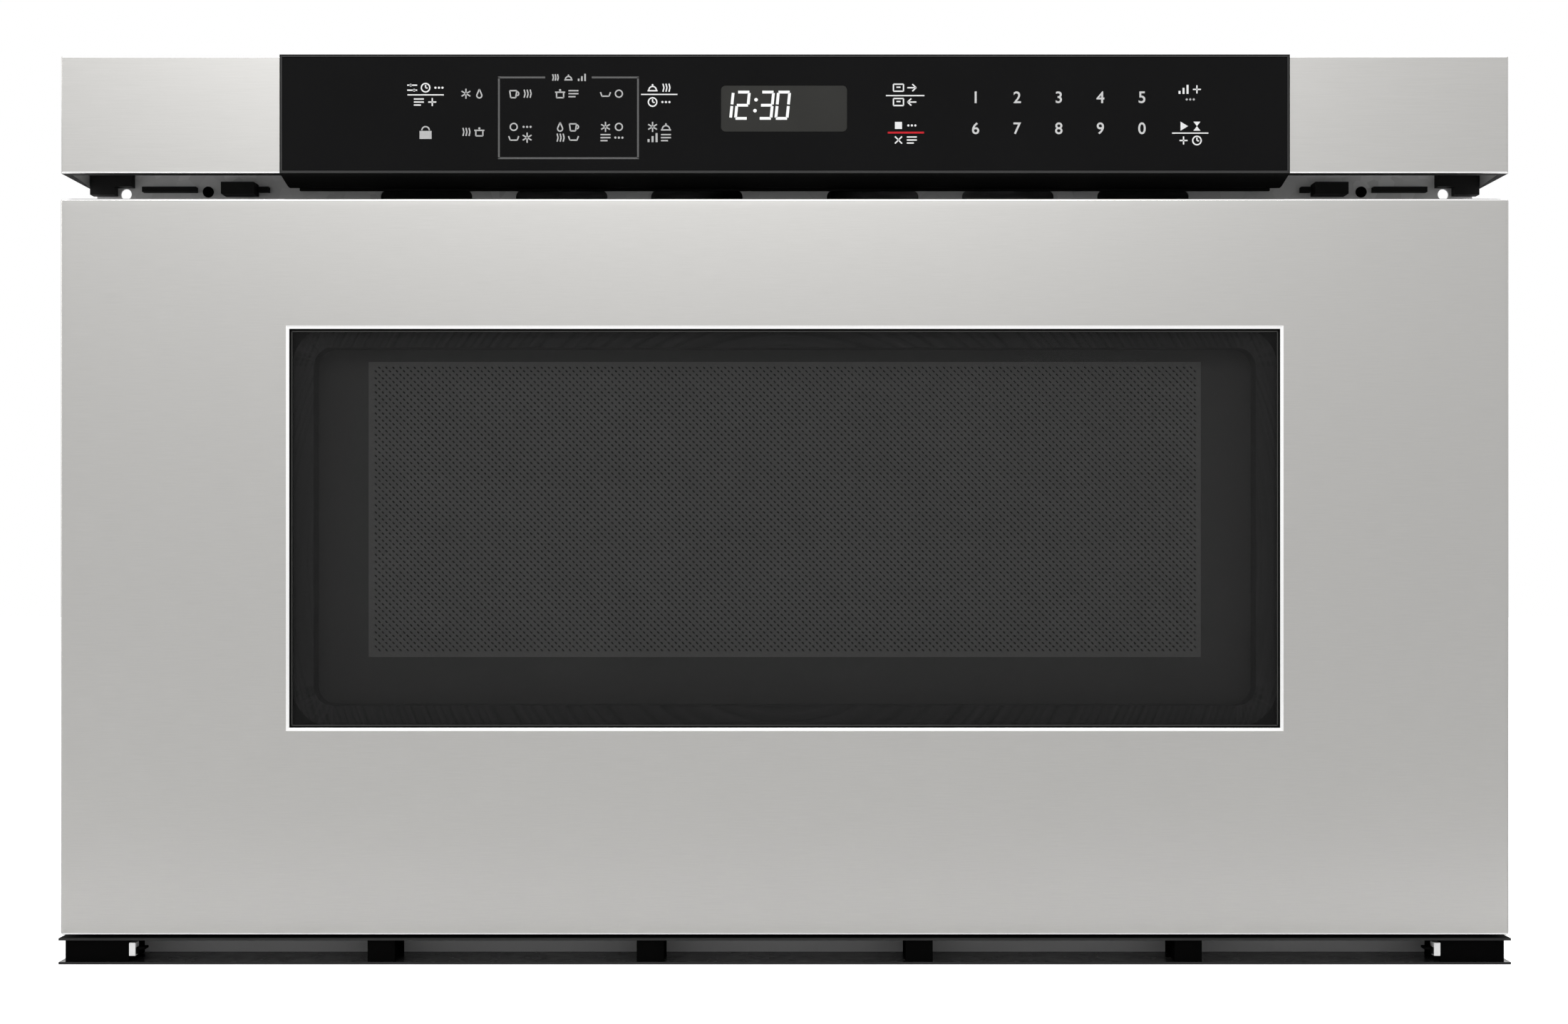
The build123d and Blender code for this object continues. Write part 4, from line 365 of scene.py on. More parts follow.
@dataclass(frozen=True)
class Laminations(Finish):
    """Stacked and varnished core sheets."""

    radian: float = 0.9 * MM  # the bands repeat after 2 pi of it
    waviness: float = 0.6
    FREQUENCY = 20  # radians of a wave texture's bands for each unit, at a scale of 1

    def lay(self, recipe: Recipe) -> None:
        """Lays out the edges of the sheets as bands along X.

        Args:
            recipe: the material in the making.
        """
        bands = recipe.node("ShaderNodeTexWave", bands_direction="X")
        bands.inputs["Scale"].default_value = 1 / (self.radian * self.FREQUENCY)
        bands.inputs["Distortion"].default_value = self.waviness
        recipe.join(recipe.place(), bands.inputs["Vector"])
        self.colour_by(recipe, bands.outputs["Fac"])
        self.gloss_by(recipe, recipe.noise(self.blotch))
        recipe.relief(bands.outputs["Fac"], self.grain_depth)


@dataclass(frozen=True)
class CircuitBoard(Finish):
    """Solder mask over a net of copper tracks."""

    track: float = 2.4 * MM  # height of a cell
    cell_length: float = 3.0  # to its height
    copper: float = 0.125  # width of the copper, to a cell's height

    def lay(self, recipe: Recipe) -> None:
        """Lays out the tracks as the borders of oblong cells.

        Args:
            recipe: the material in the making.
        """
        made = recipe.node("ShaderNodeTexBrick", offset=0.5, squash_frequency=3)
        made.inputs["Scale"].default_value = 1.0
        made.inputs["Brick Width"].default_value = self.track * self.cell_length
        made.inputs["Row Height"].default_value = self.track
        made.inputs["Mortar Size"].default_value = self.track * self.copper
        turn = recipe.node("ShaderNodeMapping")
        turn.inputs["Rotation"].default_value = (math.pi / 2, 0.0, 0.0)
        recipe.join(recipe.place(), turn.inputs["Vector"])
        recipe.join(turn.outputs["Vector"], made.inputs["Vector"])
        self.colour_by(recipe, made.outputs["Fac"])
        self.gloss_by(recipe, recipe.noise(self.blotch))
        recipe.relief(made.outputs["Fac"], self.grain_depth)


@dataclass(frozen=True)
class WindowEnamel(Finish):
    """Smooth dark enamel of the steel behind the window."""

    gloss: float = 0.2
    grain_depth: float = 0.003 * MM


@dataclass(frozen=True)
class Print(Finish):
    """A film of ink or light, or a ground edge."""

    gloss: float = 0.1
    blotch: float = 3 * MM
    grain: float = 0.3 * MM
    grain_depth: float = 0.004 * MM


class Palette:
    """Every finish on the drawer."""

    stainless = BrushedSheet("brushed_stainless", (0.432, 0.426, 0.414), contrast=0.035, roughness=0.36,
                             unevenness=0.03, blotch=140 * MM, grain_depth=0.004 * MM)
    # painted highlight: a near-white copy of the stainless, put on the folds that face up or down and on
    # the window's shallow bevel
    polished = BrushedSheet("painted_highlight_edge", (0.98, 0.98, 0.975), contrast=0.02, roughness=0.18,
                            unevenness=0.04, grain_depth=0.002 * MM)
    # painted shade: a darker copy of the stainless, for the window's steep inner bevel
    shaded_bevel_steel = BrushedSheet("painted_shade_bevel", (0.30, 0.297, 0.29), contrast=0.06, roughness=0.35,
                             unevenness=0.04, grain_depth=0.002 * MM)
    # painted shade: a darker copy of the housing's black plastic, on its down-facing faces and the outer
    # line round the glass
    shaded_black = Finish("shaded_black", grey(0.0060), contrast=0.2, roughness=0.6, gloss=0.02,
                        blotch=25 * MM, grain=0.4 * MM)
    # painted shade: near black on the end caps' cut edges and on their lower lip, which faces down
    cut_edge = Finish("painted_shade_edge", grey(0.010), contrast=0.15, roughness=0.6, gloss=0.1,
                      blotch=10 * MM)
    galvanised = SpangledSheet("galvanised_sheet", (0.36, 0.365, 0.37), contrast=0.22, roughness=0.42,
                               unevenness=0.10)
    dull_zinc = SpangledSheet("dull_zinc_sheet", grey(0.10), contrast=0.18, roughness=0.6,
                              unevenness=0.08, metallic=0.6)
    zinc = Finish("bright_zinc", (0.55, 0.56, 0.57), roughness=0.30, metallic=1.0, blotch=12 * MM,
                  grain=0.4 * MM, grain_depth=0.01 * MM)
    aluminium = BrushedSheet("bare_aluminium", (0.62, 0.63, 0.64), roughness=0.34, blotch=20 * MM,
                             line=8 * MM, grain_depth=0.006 * MM)
    window_enamel = WindowEnamel("window_enamel", grey(0.040))
    screen_ring = WindowEnamel("screen_border_enamel", (0.105, 0.105, 0.103), contrast=0.06)
    # painted light: the perforated field is lighter than its own border, for the light seen through its
    # holes
    screen_mesh = WindowEnamel("screen_mesh_enamel", (0.25, 0.25, 0.245), contrast=0.05)
    # painted light: a near-white, almost non-metal copy of the galvanised sheet for the front frame, which
    # sits in the shaded gap
    lit_flange = SpangledSheet("flange_painted_light", grey(0.72), contrast=0.12, roughness=0.55,
                                unevenness=0.06, metallic=0.1, crystal=5 * MM)
    trim_black = Finish("trim_enamel", grey(0.030), contrast=0.14, roughness=0.6, gloss=0.0,
                        blotch=18 * MM, grain=1.6 * MM)
    # painted reflection: grey on the web of the black trim, for its black paint reflecting the bright
    # surround
    trim_web = Finish("trim_web", grey(0.50), contrast=0.08, roughness=0.6, gloss=0.1,
                      blotch=40 * MM, grain=1.6 * MM)
    # painted reflection: a pale lining inside the stainless end caps, standing in for their reflection of
    # the lit flange
    trim_lining = Finish("cap_lining_painted_reflection", (0.66, 0.66, 0.65), contrast=0.08, roughness=0.45, gloss=0.4,
                         blotch=15 * MM, grain_depth=0.004 * MM)
    # painted sheen: a glossier, darker copy of the trim's black paint, on the lower flange's front top only
    flange_top_sheen = Finish("trim_gloss_enamel", grey(0.014), contrast=0.10, roughness=0.25, gloss=0.22,
                        blotch=18 * MM, grain_depth=0.003 * MM)
    deep_black = Finish("deep_black", grey(0.0022), contrast=0.2, roughness=0.7, gloss=0.0,
                        blotch=12 * MM, grain=0.5 * MM)
    # painted highlight: a lighter copy of the housing's black plastic, on the inner line round the glass
    # and on the sill
    rim_painted_highlight = Finish("rim_painted_highlight", grey(0.031), contrast=0.1, roughness=0.5, gloss=0.15,
                       blotch=15 * MM, grain=0.35 * MM)
    grey_enamel = Finish("grey_oven_enamel", (0.33, 0.335, 0.34), contrast=0.05, roughness=0.34,
                         unevenness=0.04, blotch=60 * MM, grain=1.2 * MM, grain_depth=0.004 * MM, coat=0.2)
    black_plastic = Finish("moulded_black", (0.016, 0.016, 0.0165), contrast=0.18, roughness=0.48,
                           gloss=0.22, grain=0.35 * MM, blotch=15 * MM)
    touch_glass = Finish("black_touch_glass", (0.0060, 0.0060, 0.0062), contrast=0.12, roughness=0.10,
                         unevenness=0.03, gloss=0.03, blotch=60 * MM, grain=20 * MM,
                         grain_depth=0.004 * MM)
    window_glass = Finish("dark_window_glass", grey(0.010), contrast=0.10, roughness=0.06,
                          unevenness=0.02, gloss=0.12, alpha=0.42, blotch=80 * MM, grain=25 * MM,
                          grain_depth=0.003 * MM)
    inner_glass = Finish("clear_inner_glass", (0.20, 0.21, 0.21), contrast=0.05, roughness=0.05,
                         unevenness=0.02, gloss=0.4, alpha=0.22, blotch=80 * MM, grain=25 * MM,
                         grain_depth=0.003 * MM)
    display = Finish("smoked_display", (0.030, 0.030, 0.028), contrast=0.10, roughness=0.22,
                     unevenness=0.04, gloss=0.05, blotch=25 * MM, grain=4 * MM, grain_depth=0.004 * MM)
    rubber = Finish("matt_rubber", grey(0.011), contrast=0.2, roughness=0.72, gloss=0.15,
                    grain=0.8 * MM, grain_depth=0.05 * MM, blotch=8 * MM)
    ceramic = SpeckledGlaze("glazed_ceramic", (0.66, 0.64, 0.58), contrast=0.07, roughness=0.22,
                            speck=1.8 * MM, grain_depth=0.03 * MM, coat=0.2)
    mica = SpeckledGlaze("pressed_mica", (0.52, 0.46, 0.37), contrast=0.16, roughness=0.42,
                         speck=3.5 * MM, speck_share=0.25)
    core = Laminations("varnished_core", (0.085, 0.055, 0.040), contrast=0.45, roughness=0.38,
                       grain_depth=0.08 * MM)
    nylon = Finish("natural_nylon", (0.66, 0.66, 0.63), contrast=0.05, roughness=0.46, gloss=0.4,
                   blotch=10 * MM, grain=0.9 * MM, grain_depth=0.015 * MM)
    board = CircuitBoard("circuit_board", (0.022, 0.11, 0.045), contrast=0.35, roughness=0.35,
                         grain_depth=0.03 * MM)
    motor_paint = Finish("motor_paint", (0.025, 0.025, 0.027), contrast=0.2, roughness=0.45, gloss=0.35,
                         grain=1.2 * MM, grain_depth=0.03 * MM, blotch=9 * MM)
    print_digit = Print("digit_print", grey(0.52), contrast=0.06)
    print_bright = Print("bright_print", grey(0.72), contrast=0.05)
    print_grey = Print("grey_print", grey(0.42))
    print_line = Print("dim_print", grey(0.10))
    print_red = Print("red_print", (0.48, 0.012, 0.02))
    glass_edge = Print("ground_glass_edge", (0.050, 0.050, 0.048), blotch=20 * MM)
    clock_light = Print("clock_light", (0.90, 0.91, 0.90), contrast=0.03, grain_depth=0.003 * MM)


# ---- Mesh making ---------------------------------------------------------------------------------


def block(low: Vector, high: Vector) -> Mesh:
    """A mesh of one box between two corners.

    Args:
        low: its lowest corner.
        high: its highest corner.

    Returns:
        The closed mesh.
    """
    mesh = bmesh.new()
    verts = bmesh.ops.create_cube(mesh, size=1.0)["verts"]
    bmesh.ops.scale(mesh, vec=high - low, verts=verts)
    bmesh.ops.translate(mesh, vec=(low + high) / 2, verts=verts)
    return mesh


def along_x(section: Sequence[Pair], start: float, end: float) -> Mesh:
    """A bar along X.

    Args:
        section: its outline in Y and Z.
        start: X of its first end.
        end: X of its other end.

    Returns:
        The closed mesh.
    """
    mesh = bmesh.new()
    outline = mesh.faces.new([mesh.verts.new((start, y, z)) for y, z in section])
    grown = bmesh.ops.extrude_face_region(mesh, geom=[outline])["geom"]
    moved = [part for part in grown if isinstance(part, Vert)]
    bmesh.ops.translate(mesh, vec=(end - start, 0.0, 0.0), verts=moved)
    bmesh.ops.recalc_face_normals(mesh, faces=mesh.faces)
    return mesh


def middle_of(node: str) -> Vector:
    """The middle of a node's box."""
    low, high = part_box(node)
    return (low + high) / 2


def facing(mesh: Mesh, direction: Triple) -> list[Face]:
    """The flat faces that look a given way."""
    mesh.normal_update()
    return [face for face in mesh.faces if face.normal.dot(Vector(direction)) > FLAT]


def largest(faces: Iterable[Face]) -> Face:
    """The face with the most area."""
    return max(faces, key=lambda face: face.calc_area())


def drop(mesh: Mesh, faces: Iterable[Face]) -> None:
    """Takes faces away, with the edges and corners that only they used."""
    bmesh.ops.delete(mesh, geom=list(faces), context="FACES")


def soften(mesh: Mesh, edges: Iterable[Edge], radius: float, segments: int = 4) -> list[Face]:
    """Rounds edges.

    Args:
        mesh: the mesh that the edges belong to.
        edges: what is rounded.
        radius: how far the rounding reaches from each edge.
        segments: faces across the rounding.

    Returns:
        The new faces.
    """
    made = bmesh.ops.bevel(mesh, geom=list(edges), offset=radius, offset_type="OFFSET", affect="EDGES",
                           segments=segments, profile=0.5, material=-1, clamp_overlap=True)
    return made["faces"]


def window_in(mesh: Mesh, face: Face, low: Vector, high: Vector) -> Face:
    """Insets a rectangle into a flat upright face that looks along Y.

    Args:
        mesh: the mesh that the face belongs to.
        face: a four-sided face.
        low: the rectangle's lowest corner; only X and Z count.
        high: its highest corner.

    Returns:
        The inner face.
    """
    bmesh.ops.inset_region(mesh, faces=[face], thickness=HAIR, use_even_offset=True)
    middle = face.calc_center_median()
    for vert in face.verts:
        vert.co.x = high.x if vert.co.x > middle.x else low.x
        vert.co.z = high.z if vert.co.z > middle.z else low.z
    return face


def push(mesh: Mesh, face: Face, inset: float, depth: float) -> Face:
    """Insets a face and sinks it, and gives it back."""
    bmesh.ops.inset_region(mesh, faces=[face], thickness=inset, depth=-depth, use_even_offset=True)
    return face


def cut(mesh: Mesh, faces: Iterable[Face], at: Triple, along: Triple) -> None:
    """Scores a plane through faces.

    Args:
        mesh: the mesh that the faces belong to.
        faces: what is scored.
        at: a point on the plane.
        along: the plane's normal.
    """
    faces = list(faces)
    edges = {edge for face in faces for edge in face.edges}
    verts = {vert for face in faces for vert in face.verts}
    bmesh.ops.bisect_plane(mesh, geom=[*verts, *edges, *faces], dist=WELD, plane_co=at, plane_no=along)


def frame_plate(low: Vector, high: Vector, hole_low: Vector, hole_high: Vector) -> Mesh:
    """An upright plate across Y with a rectangular hole.

    Args:
        low: the plate's lowest corner.
        high: its highest corner.
        hole_low: the hole's lowest corner; only X and Z count.
        hole_high: its highest corner.

    Returns:
        The closed mesh.
    """
    mesh = block(low, high)
    for direction in ((0, -1, 0), (0, 1, 0)):
        drop(mesh, [window_in(mesh, facing(mesh, direction)[0], hole_low, hole_high)])
    bmesh.ops.bridge_loops(mesh, edges=[edge for edge in mesh.edges if edge.is_boundary])
    return mesh


@dataclass
class Piece:
    """How one modelled mesh joins the object."""

    name: str
    body: str
    finishes: tuple[Finish, ...]
    slot: str
    replaces: tuple[str, ...] = ()
    sheet: float = 0.0  # thickness that a shell gets, inwards
    rim: int = 0  # finish of the sheet's cut edges, counted on from the face's own
    inside: int = 0  # the same for the sheet's hidden side
    edge: float = 0.0  # softened edges, once the thickness is there
    edge_steps: int = 2
    smooth_angle: float = 35.0  # degrees, from which an edge stays sharp

    def make(self, mesh: Mesh) -> Object:
        """Turns a finished bmesh into a piece that rides on its body.

        Args:
            mesh: the shape, in place. It is freed.

        Returns:
            The piece's object.
        """
        data = bpy.data.meshes.new(self.name)
        mesh.to_mesh(data)
        mesh.free()
        piece = bpy.data.objects.new(self.name, data)
        bpy.context.scene.collection.objects.link(piece)
        for finish in self.finishes:
            data.materials.append(finish.material())
        data.polygons.foreach_set("use_smooth", [True] * len(data.polygons))
        self.finish_edges(piece)
        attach(piece, self.body)
        if self.replaces:
            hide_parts(*self.replaces)
        LOG.info("%s: %d faces on %s", self.name, len(piece.data.polygons), self.body)
        return piece

    def finish_edges(self, piece: Object) -> None:
        """Gives the mesh its thickness and softened edges, and the piece even shading.

        Args:
            piece: the object, with its plain mesh.
        """
        if self.sheet:
            shell = piece.modifiers.new("sheet", "SOLIDIFY")
            shell.thickness, shell.offset, shell.use_even_offset = self.sheet, -1.0, True
            shell.material_offset, shell.material_offset_rim = self.inside, self.rim
        if self.edge:
            rounding = piece.modifiers.new("edges", "BEVEL")
            rounding.width, rounding.segments = self.edge, self.edge_steps
            rounding.limit_method, rounding.angle_limit = "ANGLE", math.radians(self.smooth_angle)
        if piece.modifiers:
            plain = piece.data
            graph = bpy.context.evaluated_depsgraph_get()
            piece.data = bpy.data.meshes.new_from_object(piece.evaluated_get(graph))
            piece.modifiers.clear()
            bpy.data.meshes.remove(plain)
            piece.data.name = self.name
        piece.data.set_sharp_from_angle(angle=math.radians(self.smooth_angle))
        shading = piece.modifiers.new("even_shading", "WEIGHTED_NORMAL")
        shading.keep_sharp = True


def dress(nodes: Nodes, finish: Finish, *names: str) -> None:
    """Gives kept nodes their finish."""
    for name in names:
        for slot in nodes[name].material_slots:
            slot.material = finish.material()
        LOG.info("%s: %s", name, finish.name)


# ---- Door ----------------------------------------------------------------------------------------


@dataclass
class Door:
    """Stainless pan, dark window and perforated screen."""

    fold_radius: float = 0.8 * MM
    corner_radius: float = 1.2 * MM
    # the first bevel takes the painted highlight, the second the painted shade
    bevels: tuple[Pair, Pair] = ((1.3 * MM, 0.45 * MM), (0.2 * MM, 1.05 * MM))  # across and deep
    sheet: float = 1.0 * MM
    field_side: float = 21.2 * MM  # screen's plain border at the sides
    field_top: float = 5.1 * MM
    field_bottom: float = 20.0 * MM
    hole_pitch: float = 3.0 * MM
    hole_radius: float = 0.66 * MM
    rim_line: float = 0.45 * MM
    pan_smooth: float = 23.0  # degrees, from which an edge of the pan stays sharp
    whole_cell: float = 0.99  # share of its full area from which a cell counts as uncut
    hole_start: float = 0.8  # half side of a hole's first square, to its radius

    def skin(self) -> Object:
        """The folded pan with its bevelled window opening."""
        low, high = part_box("door_skin")
        mesh = block(low, high)
        drop(mesh, facing(mesh, (0, 1, 0)))
        corners = [edge for edge in mesh.edges if abs(edge.verts[0].co.y - edge.verts[1].co.y) > self.sheet]
        soften(mesh, corners, self.corner_radius)
        front = largest(facing(mesh, (0, -1, 0)))
        # Folds that face up or down take the near-white copy of the stainless as a painted highlight; the
        # side folds stay plain.
        for face in soften(mesh, front.edges, self.fold_radius):
            if abs(face.normal.z) > abs(face.normal.x):
                face.material_index = 1
        self.open_window(mesh, largest(facing(mesh, (0, -1, 0))))
        finishes = Palette.stainless, Palette.polished, Palette.shaded_bevel_steel
        return Piece("door_pan", "drawer", finishes, "stainless", ("door_skin",), sheet=self.sheet,
                     smooth_angle=self.pan_smooth).make(mesh)

    def open_window(self, mesh: Mesh, front: Face) -> None:
        """Cuts the window, with a painted highlight on its shallow bevel and painted shade on its steep
        one.

        Args:
            mesh: the mesh in the making.
            front: the pan's front face.
        """
        gasket_low, gasket_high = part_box("window_gasket")
        width = sum(step[0] for step in self.bevels)
        reach = Vector((width, 0.0, width))
        pane = window_in(mesh, self.four_sided(mesh, front), gasket_low - reach, gasket_high + reach)
        for finish, (across, deep) in enumerate(self.bevels, start=1):
            before = set(mesh.faces)
            pane = push(mesh, pane, across, deep)
            for face in set(mesh.faces) - before:
                face.material_index = finish
        drop(mesh, [pane])

    def four_sided(self, mesh: Mesh, front: Face) -> Face:
        """Gives the front an inner rectangle, so that its window starts from four corners.

        Args:
            mesh: the mesh in the making.
            front: the pan's front face.

        Returns:
            The inner rectangle.
        """
        low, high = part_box("door_skin")
        margin = 3 * self.corner_radius
        for at, along in (
            ((low.x + margin, 0, 0), (1, 0, 0)), ((high.x - margin, 0, 0), (1, 0, 0)),
            ((0, 0, low.z + margin), (0, 0, 1)), ((0, 0, high.z - margin), (0, 0, 1)),
        ):
            cut(mesh, facing(mesh, (0, -1, 0)), at, along)
        return largest(facing(mesh, (0, -1, 0)))

    def screen(self) -> None:
        """The perforated screen in two halves, and the plain border round them."""
        low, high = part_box("door_screen")
        field_low = Vector((low.x + self.field_side, low.y, low.z + self.field_bottom))
        field_high = Vector((high.x - self.field_side, high.y, high.z - self.field_top))
        border = frame_plate(low, high, field_low, field_high)
        ring = Piece("screen_border", "drawer", (Palette.screen_ring,), "black_steel", ("door_screen",))
        ring.make(border)
        for side in Side:
            mesh = self.perforated(field_low, Vector((field_high.x, low.y, field_high.z)), side)
            # The perforated field takes the lighter enamel as painted light from its holes.
            field = Piece(side.node("screen_field"), "drawer", (Palette.screen_mesh,), "black_steel",
                          sheet=high.y - low.y)
            field.make(mesh)

    def perforated(self, low: Vector, high: Vector, side: Side) -> Mesh:
        """One half of a flat field of staggered round holes.

        Args:
            low: lowest corner of the whole field.
            high: highest corner; the depths are the same.
            side: the half that is kept.

        Returns:
            The half field, one face thick, which looks along -Y.
        """
        mesh = bmesh.new()
        cell = self.hole_pitch / math.sqrt(2)
        reach = (high - low).length / 2 + cell
        count = 2 * math.ceil(reach / cell)
        turn = Matrix.Rotation(math.pi / 2, 4, "X") @ Matrix.Rotation(math.pi / 4, 4, "Z")
        bmesh.ops.create_grid(mesh, x_segments=count, y_segments=count, size=count * cell / 2,
                              matrix=Matrix.Translation((low + high) / 2) @ turn)
        other = [face for face in mesh.faces if (face.calc_center_median().x + HAIR) * side.value < 0]
        drop(mesh, other)
        sides = (((low.x, 0, 0), (-1, 0, 0)), ((high.x, 0, 0), (1, 0, 0)),
                 ((0, 0, low.z), (0, 0, -1)), ((0, 0, high.z), (0, 0, 1)))
        for at, along in sides:
            bmesh.ops.bisect_plane(mesh, geom=[*mesh.verts, *mesh.edges, *mesh.faces], dist=FINE_WELD,
                                   plane_co=at, plane_no=along, clear_outer=True)
        least = self.whole_cell * cell**2
        whole = [face for face in mesh.faces if len(face.verts) == 4 and face.calc_area() > least]
        web = cell / 2 - self.hole_radius * self.hole_start
        bmesh.ops.inset_individual(mesh, faces=whole, thickness=web)
        rising = Vector((1, 0, 1))
        halved = {edge for face in whole for edge in face.edges
                  if abs((edge.verts[0].co - edge.verts[1].co).dot(rising)) > cell / 3}
        bmesh.ops.subdivide_edges(mesh, edges=list(halved), cuts=1)
        for face in whole:
            middle = face.calc_center_median()
            for vert in face.verts:
                vert.co = middle + (vert.co - middle).normalized() * self.hole_radius
        drop(mesh, whole)
        return mesh

    def glass_rim(self) -> Object:
        """The thin ground line round the outer glass."""
        low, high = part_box("door_glass")
        drawing = Strokes(low.y - HAIR / 2)
        inset = self.rim_line / 2
        drawing.frame((low.x + inset, low.z + inset), (high.x - inset, high.z - inset), self.rim_line)
        return drawing.print("glass_rim", Palette.glass_edge, "tinted_glass", "drawer")

    def build(self, nodes: Nodes) -> None:
        """Makes the door's new pieces and dresses its nodes.

        Args:
            nodes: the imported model's nodes by name.
        """
        self.skin()
        self.screen()
        self.glass_rim()
        dress(nodes, Palette.deep_black, "window_gasket")
        dress(nodes, Palette.window_glass, "door_glass")
        dress(nodes, Palette.inner_glass, "inner_glass")
        dress(nodes, Palette.window_enamel, "door_frame")
        dress(nodes, Palette.black_plastic, "choke_cover", "latch_hooks")


# ---- Control panel -------------------------------------------------------------------------------


class Strokes:
    """Flat printed marks on an upright surface, drawn in X and Z."""

    BOLDNESS = 0.012  # growth of a figure's outline, as a share of its size
    DOT_SIDES = 16

    def __init__(self, depth: float) -> None:
        """Starts an empty drawing at a given Y."""
        self.mesh = bmesh.new()
        self.depth = depth

    def at(self, x: float, z: float) -> Vector:
        """A point of the drawing."""
        return Vector((x, self.depth, z))

    def patch(self, points: Sequence[Pair]) -> None:
        """A filled outline of a few corners."""
        verts = [self.mesh.verts.new(self.at(x, z)) for x, z in points]
        self.mesh.faces.new(verts)

    def bar(self, start: Pair, end: Pair, width: float) -> None:
        """A straight stroke.

        Args:
            start: its first end.
            end: its other end.
            width: its width.
        """
        run = Vector(end) - Vector(start)
        across = Vector((-run.y, run.x)).normalized() * width / 2
        ends = Vector(start), Vector(end)
        self.patch([ends[0] - across, ends[1] - across, ends[1] + across, ends[0] + across])

    def frame(self, low: Pair, high: Pair, width: float, gap: Pair = (0.0, 0.0)) -> None:
        """A rectangular line.

        Args:
            low: lower left corner.
            high: upper right corner.
            width: width of the line.
            gap: where its top side is left out, from and to, in X.
        """
        half = width / 2
        left, right = low[0], high[0]
        self.bar((left - half, low[1]), (right + half, low[1]), width)
        self.bar((left, low[1]), (left, high[1]), width)
        self.bar((right, low[1]), (right, high[1]), width)
        if gap[0] < gap[1]:
            self.bar((left - half, high[1]), (gap[0], high[1]), width)
            self.bar((gap[1], high[1]), (right + half, high[1]), width)
        else:
            self.bar((left - half, high[1]), (right + half, high[1]), width)

    def ring(
        self, centre: Pair, radius: float, width: float, start: float = 0.0, sweep: float = 360.0,
        steps: int = 24,
    ) -> None:
        """A round stroke.

        Args:
            centre: its middle.
            radius: to the middle of the line.
            width: width of the line.
            start: where it starts, in degrees from +X.
            sweep: how far it goes.
            steps: faces along it.
        """
        angle = math.radians(start)
        direction = Vector((math.cos(angle), 0.0, math.sin(angle)))
        middle = self.at(*centre)
        ends = [self.mesh.verts.new(middle + direction * (radius + side * width / 2)) for side in (-1, 1)]
        edge = self.mesh.edges.new(ends)
        full = abs(sweep) >= 360.0
        bmesh.ops.spin(self.mesh, geom=[*ends, edge], cent=middle, axis=(0, -1, 0),
                       angle=math.radians(sweep), steps=steps, use_merge=full, use_duplicate=False)

    def dot(self, centre: Pair, radius: float, squash: float = 1.0) -> None:
        """A filled round or oval.

        Args:
            centre: its middle.
            radius: half its width.
            squash: its height to its width.
        """
        place = Matrix.Translation(self.at(*centre)) @ Matrix.Diagonal((1.0, 1.0, squash, 1.0))
        bmesh.ops.create_circle(self.mesh, cap_ends=True, segments=self.DOT_SIDES, radius=radius,
                                matrix=place @ Matrix.Rotation(math.pi / 2, 4, "X"))

    def text(self, letters: str, centre: Pair, height: float) -> None:
        """Plain upright figures.

        Args:
            letters: what they say.
            centre: their middle.
            height: height of a figure.
        """
        curve = bpy.data.curves.new("figures", "FONT")
        curve.body = letters
        curve.offset = self.BOLDNESS
        holder = bpy.data.objects.new("figures", curve)
        data = bpy.data.meshes.new_from_object(holder)
        before = set(self.mesh.verts)
        self.mesh.from_mesh(data)
        verts = [vert for vert in self.mesh.verts if vert not in before]
        low, high = (Vector(map(end, zip(*(vert.co for vert in verts)))) for end in (min, max))
        size = height / (high.y - low.y)
        place = Matrix.Translation(self.at(*centre)) @ Matrix.Rotation(math.pi / 2, 4, "X")
        place = place @ Matrix.Scale(size, 4) @ Matrix.Translation(-(low + high) / 2)
        bmesh.ops.transform(self.mesh, matrix=place, verts=verts)
        bpy.data.objects.remove(holder)
        bpy.data.curves.remove(curve)
        bpy.data.meshes.remove(data)

    def pictogram(self, mark: "Mark", centre: Pair, size: float, width: float) -> None:
        """One of the plain signs.

        Args:
            mark: which sign.
            centre: its middle.
            size: its height.
            width: width of its strokes.
        """
        half = size / 2

        def spot(x: float, z: float) -> Pair:
            """A point of the sign, in metres."""
            return (centre[0] + x * half, centre[1] + z * half)

        for kind, *values in mark.value:
            if kind == "bar":
                self.bar(spot(*values[:2]), spot(*values[2:]), width)
            elif kind == "ring":
                self.ring(spot(*values[:2]), values[2] * half, width, *values[3:], steps=self.DOT_SIDES)
            elif kind == "dot":
                self.dot(spot(*values[:2]), values[2] * half)
            else:
                self.patch([spot(*corner) for corner in values])

    def print(self, name: str, finish: Finish, slot: str, body: str = "chassis") -> Object:
        """Turns the drawing into a thin film.

        Args:
            name: name of the piece.
            finish: its finish.
            slot: name of a slot in the record; it is kept on the piece and not used.
            body: what it rides on.

        Returns:
            The piece.
        """
        bmesh.ops.remove_doubles(self.mesh, verts=self.mesh.verts, dist=WELD)
        self.mesh.normal_update()
        turned = [face for face in self.mesh.faces if face.normal.y > 0]
        bmesh.ops.reverse_faces(self.mesh, faces=turned)
        return Piece(name, body, (finish,), slot, sheet=HAIR / 2).make(self.mesh)

    def solid(self, name: str, finish: Finish, slot: str, depth: float) -> Object:
        """Turns the drawing into a piece of some depth.

        Args:
            name: name of the piece.
            finish: its finish.
            slot: name of a slot in the record; it is kept on the piece and not used.
            depth: how far it reaches back.

        Returns:
            The piece.
        """
        bmesh.ops.recalc_face_normals(self.mesh, faces=self.mesh.faces)
        self.mesh.normal_update()
        bmesh.ops.reverse_faces(self.mesh, faces=[face for face in self.mesh.faces if face.normal.y > 0])
        return Piece(name, "chassis", (finish,), slot, sheet=depth).make(self.mesh)


